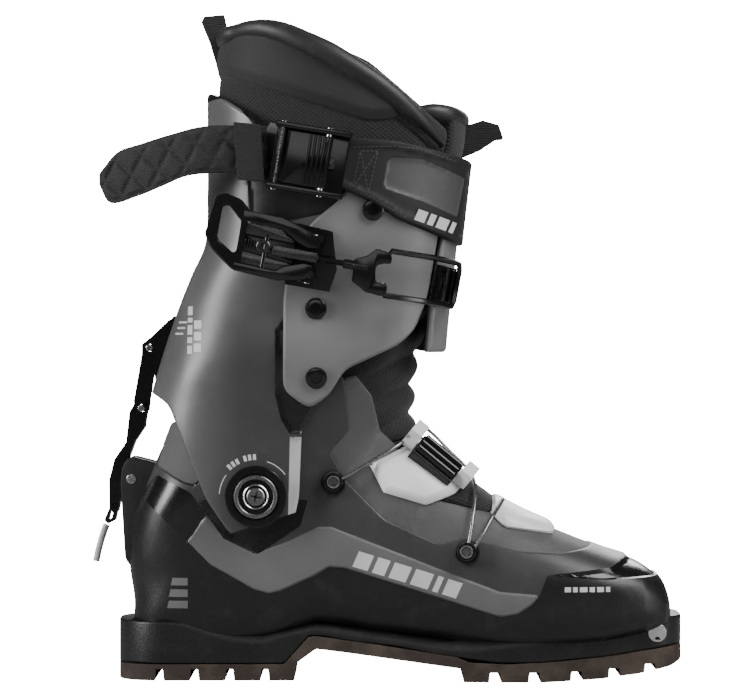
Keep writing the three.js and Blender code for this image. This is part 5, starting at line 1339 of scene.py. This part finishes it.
def hardware():
    """The small metal pieces, the outsole and the loops: the frame's own solids with rounded edges."""
    by_finish = {
        BLACK_METAL: ["latch_bracket", "walk_link", "walk_lever", "pull_ring", "buckle_base", "buckle_rack",
                      "instep_rack", "buckle_bail", "rod_pin"],
        STEEL: ["latch_pin", "latch_pin_top", "latch_pin_middle", "toe_insert_outer", "toe_insert_inner",
                "heel_insert", "buckle_pin_lower", "buckle_pin_upper"],
        PLATE_FINISH: ["cable_guide_rear", "cable_guide_front"],
        RUBBER_FINISH: ["outsole"], FOAM_FINISH: ["boot_board"],
        WEB_FINISH: ["strap_keeper", "tongue_loop", "rear_loop"], LINER_FINISH: ["liner_foot"]}
    for kind, nodes in by_finish.items():
        for node in nodes:
            made = refined(node, kind, 0.0 if node == "buckle_bail" else 0.35)
            if kind in (WEB_FINISH, LINER_FINISH):
                threads(made)


shell()
gaiter()
rear_cuff()
flaps()
liner()
straps()
plates()
cuff_marks()
pivots()
fasteners()
cables()
pull_cord()
buckle()
strap_buckle()
hardware()


# ---------------------------------------------------------------- floor, light and camera
def bright_to_camera(tree, dim, bright, shader):
    """A surface or world that is dim for lighting and bright where the camera sees it directly."""
    g = Graph(tree)
    seen = g.node("ShaderNodeLightPath").outputs["Is Camera Ray"]
    glow = g.node("ShaderNodeEmission" if shader else "ShaderNodeBackground", {
        "Color": (1, 1, 1, 1), "Strength": bright}).outputs[0]
    mixed = g.node("ShaderNodeMixShader", {0: g.math("MULTIPLY", seen, 0.9) if shader else seen,
                                           1: dim, 2: glow}).outputs[0]
    return mixed


def studio():
    """A pale floor and world, five soft lights and the camera."""
    bpy.ops.mesh.primitive_plane_add(size=8, location=(0, 0, -0.0005))
    floor = bpy.context.object
    floor.name = "floor"
    pale = bpy.data.materials.new("floor")
    pale.use_nodes = True
    g = Graph(pale.node_tree)
    g.tree.nodes.clear()
    chalk = g.node("ShaderNodeBsdfDiffuse", {"Color": (0.35, 0.35, 0.35, 1)}).outputs[0]
    g.node("ShaderNodeOutputMaterial", {0: bright_to_camera(g.tree, chalk, 22.0, True)})
    floor.data.materials.append(pale)
    world = bpy.data.worlds.new("studio")
    bpy.context.scene.world = world
    world.use_nodes = True
    g = Graph(world.node_tree)
    g.tree.nodes.clear()
    soft = g.node("ShaderNodeBackground", {"Color": (1, 1, 1, 1), "Strength": 0.05}).outputs[0]
    g.node("ShaderNodeOutputWorld", {0: bright_to_camera(g.tree, soft, 22.0, False)})
    for name, place, target, size, power_w in (
            ("rear_left", (-1.15, -0.55, 0.6), (-0.03, 0, 0.17), (0.35, 0.9), 24.0),
            ("front_top", (0.75, -0.45, 0.95), (0.1, 0, 0.1), (0.6, 0.6), 15.0),
            ("front_low", (1.2, -0.5, 0.35), (0.1, 0, 0.15), (0.3, 0.7), 5.0),
            ("inner_side", (0.3, 1.6, 0.8), (0.05, 0, 0.15), (0.8, 0.8), 14.0),
            ("camera_side", (-0.1, -1.7, 0.9), (0.05, 0, 0.15), (1.0, 0.6), 3.5)):
        light = bpy.data.lights.new(name, "AREA")
        light.energy = power_w
        light.shape = "RECTANGLE"
        light.size, light.size_y = size
        lamp = bpy.data.objects.new(name, light)
        lamp.location = place
        lamp.rotation_euler = (Vector(target) - Vector(place)).to_track_quat("-Z", "Y").to_euler()
        bpy.context.scene.collection.objects.link(lamp)
    camera = bpy.data.cameras.new("camera")
    camera.lens = 163.8  # from 1.8 m away, so that the boot nearly fills the picture's height
    camera.sensor_width = 36
    eye = bpy.data.objects.new("camera", camera)
    eye.location = (0.0597, -1.8, 0.173)
    eye.rotation_euler = (math.pi / 2, 0, 0)
    bpy.context.scene.collection.objects.link(eye)
    bpy.context.scene.camera = eye


studio()
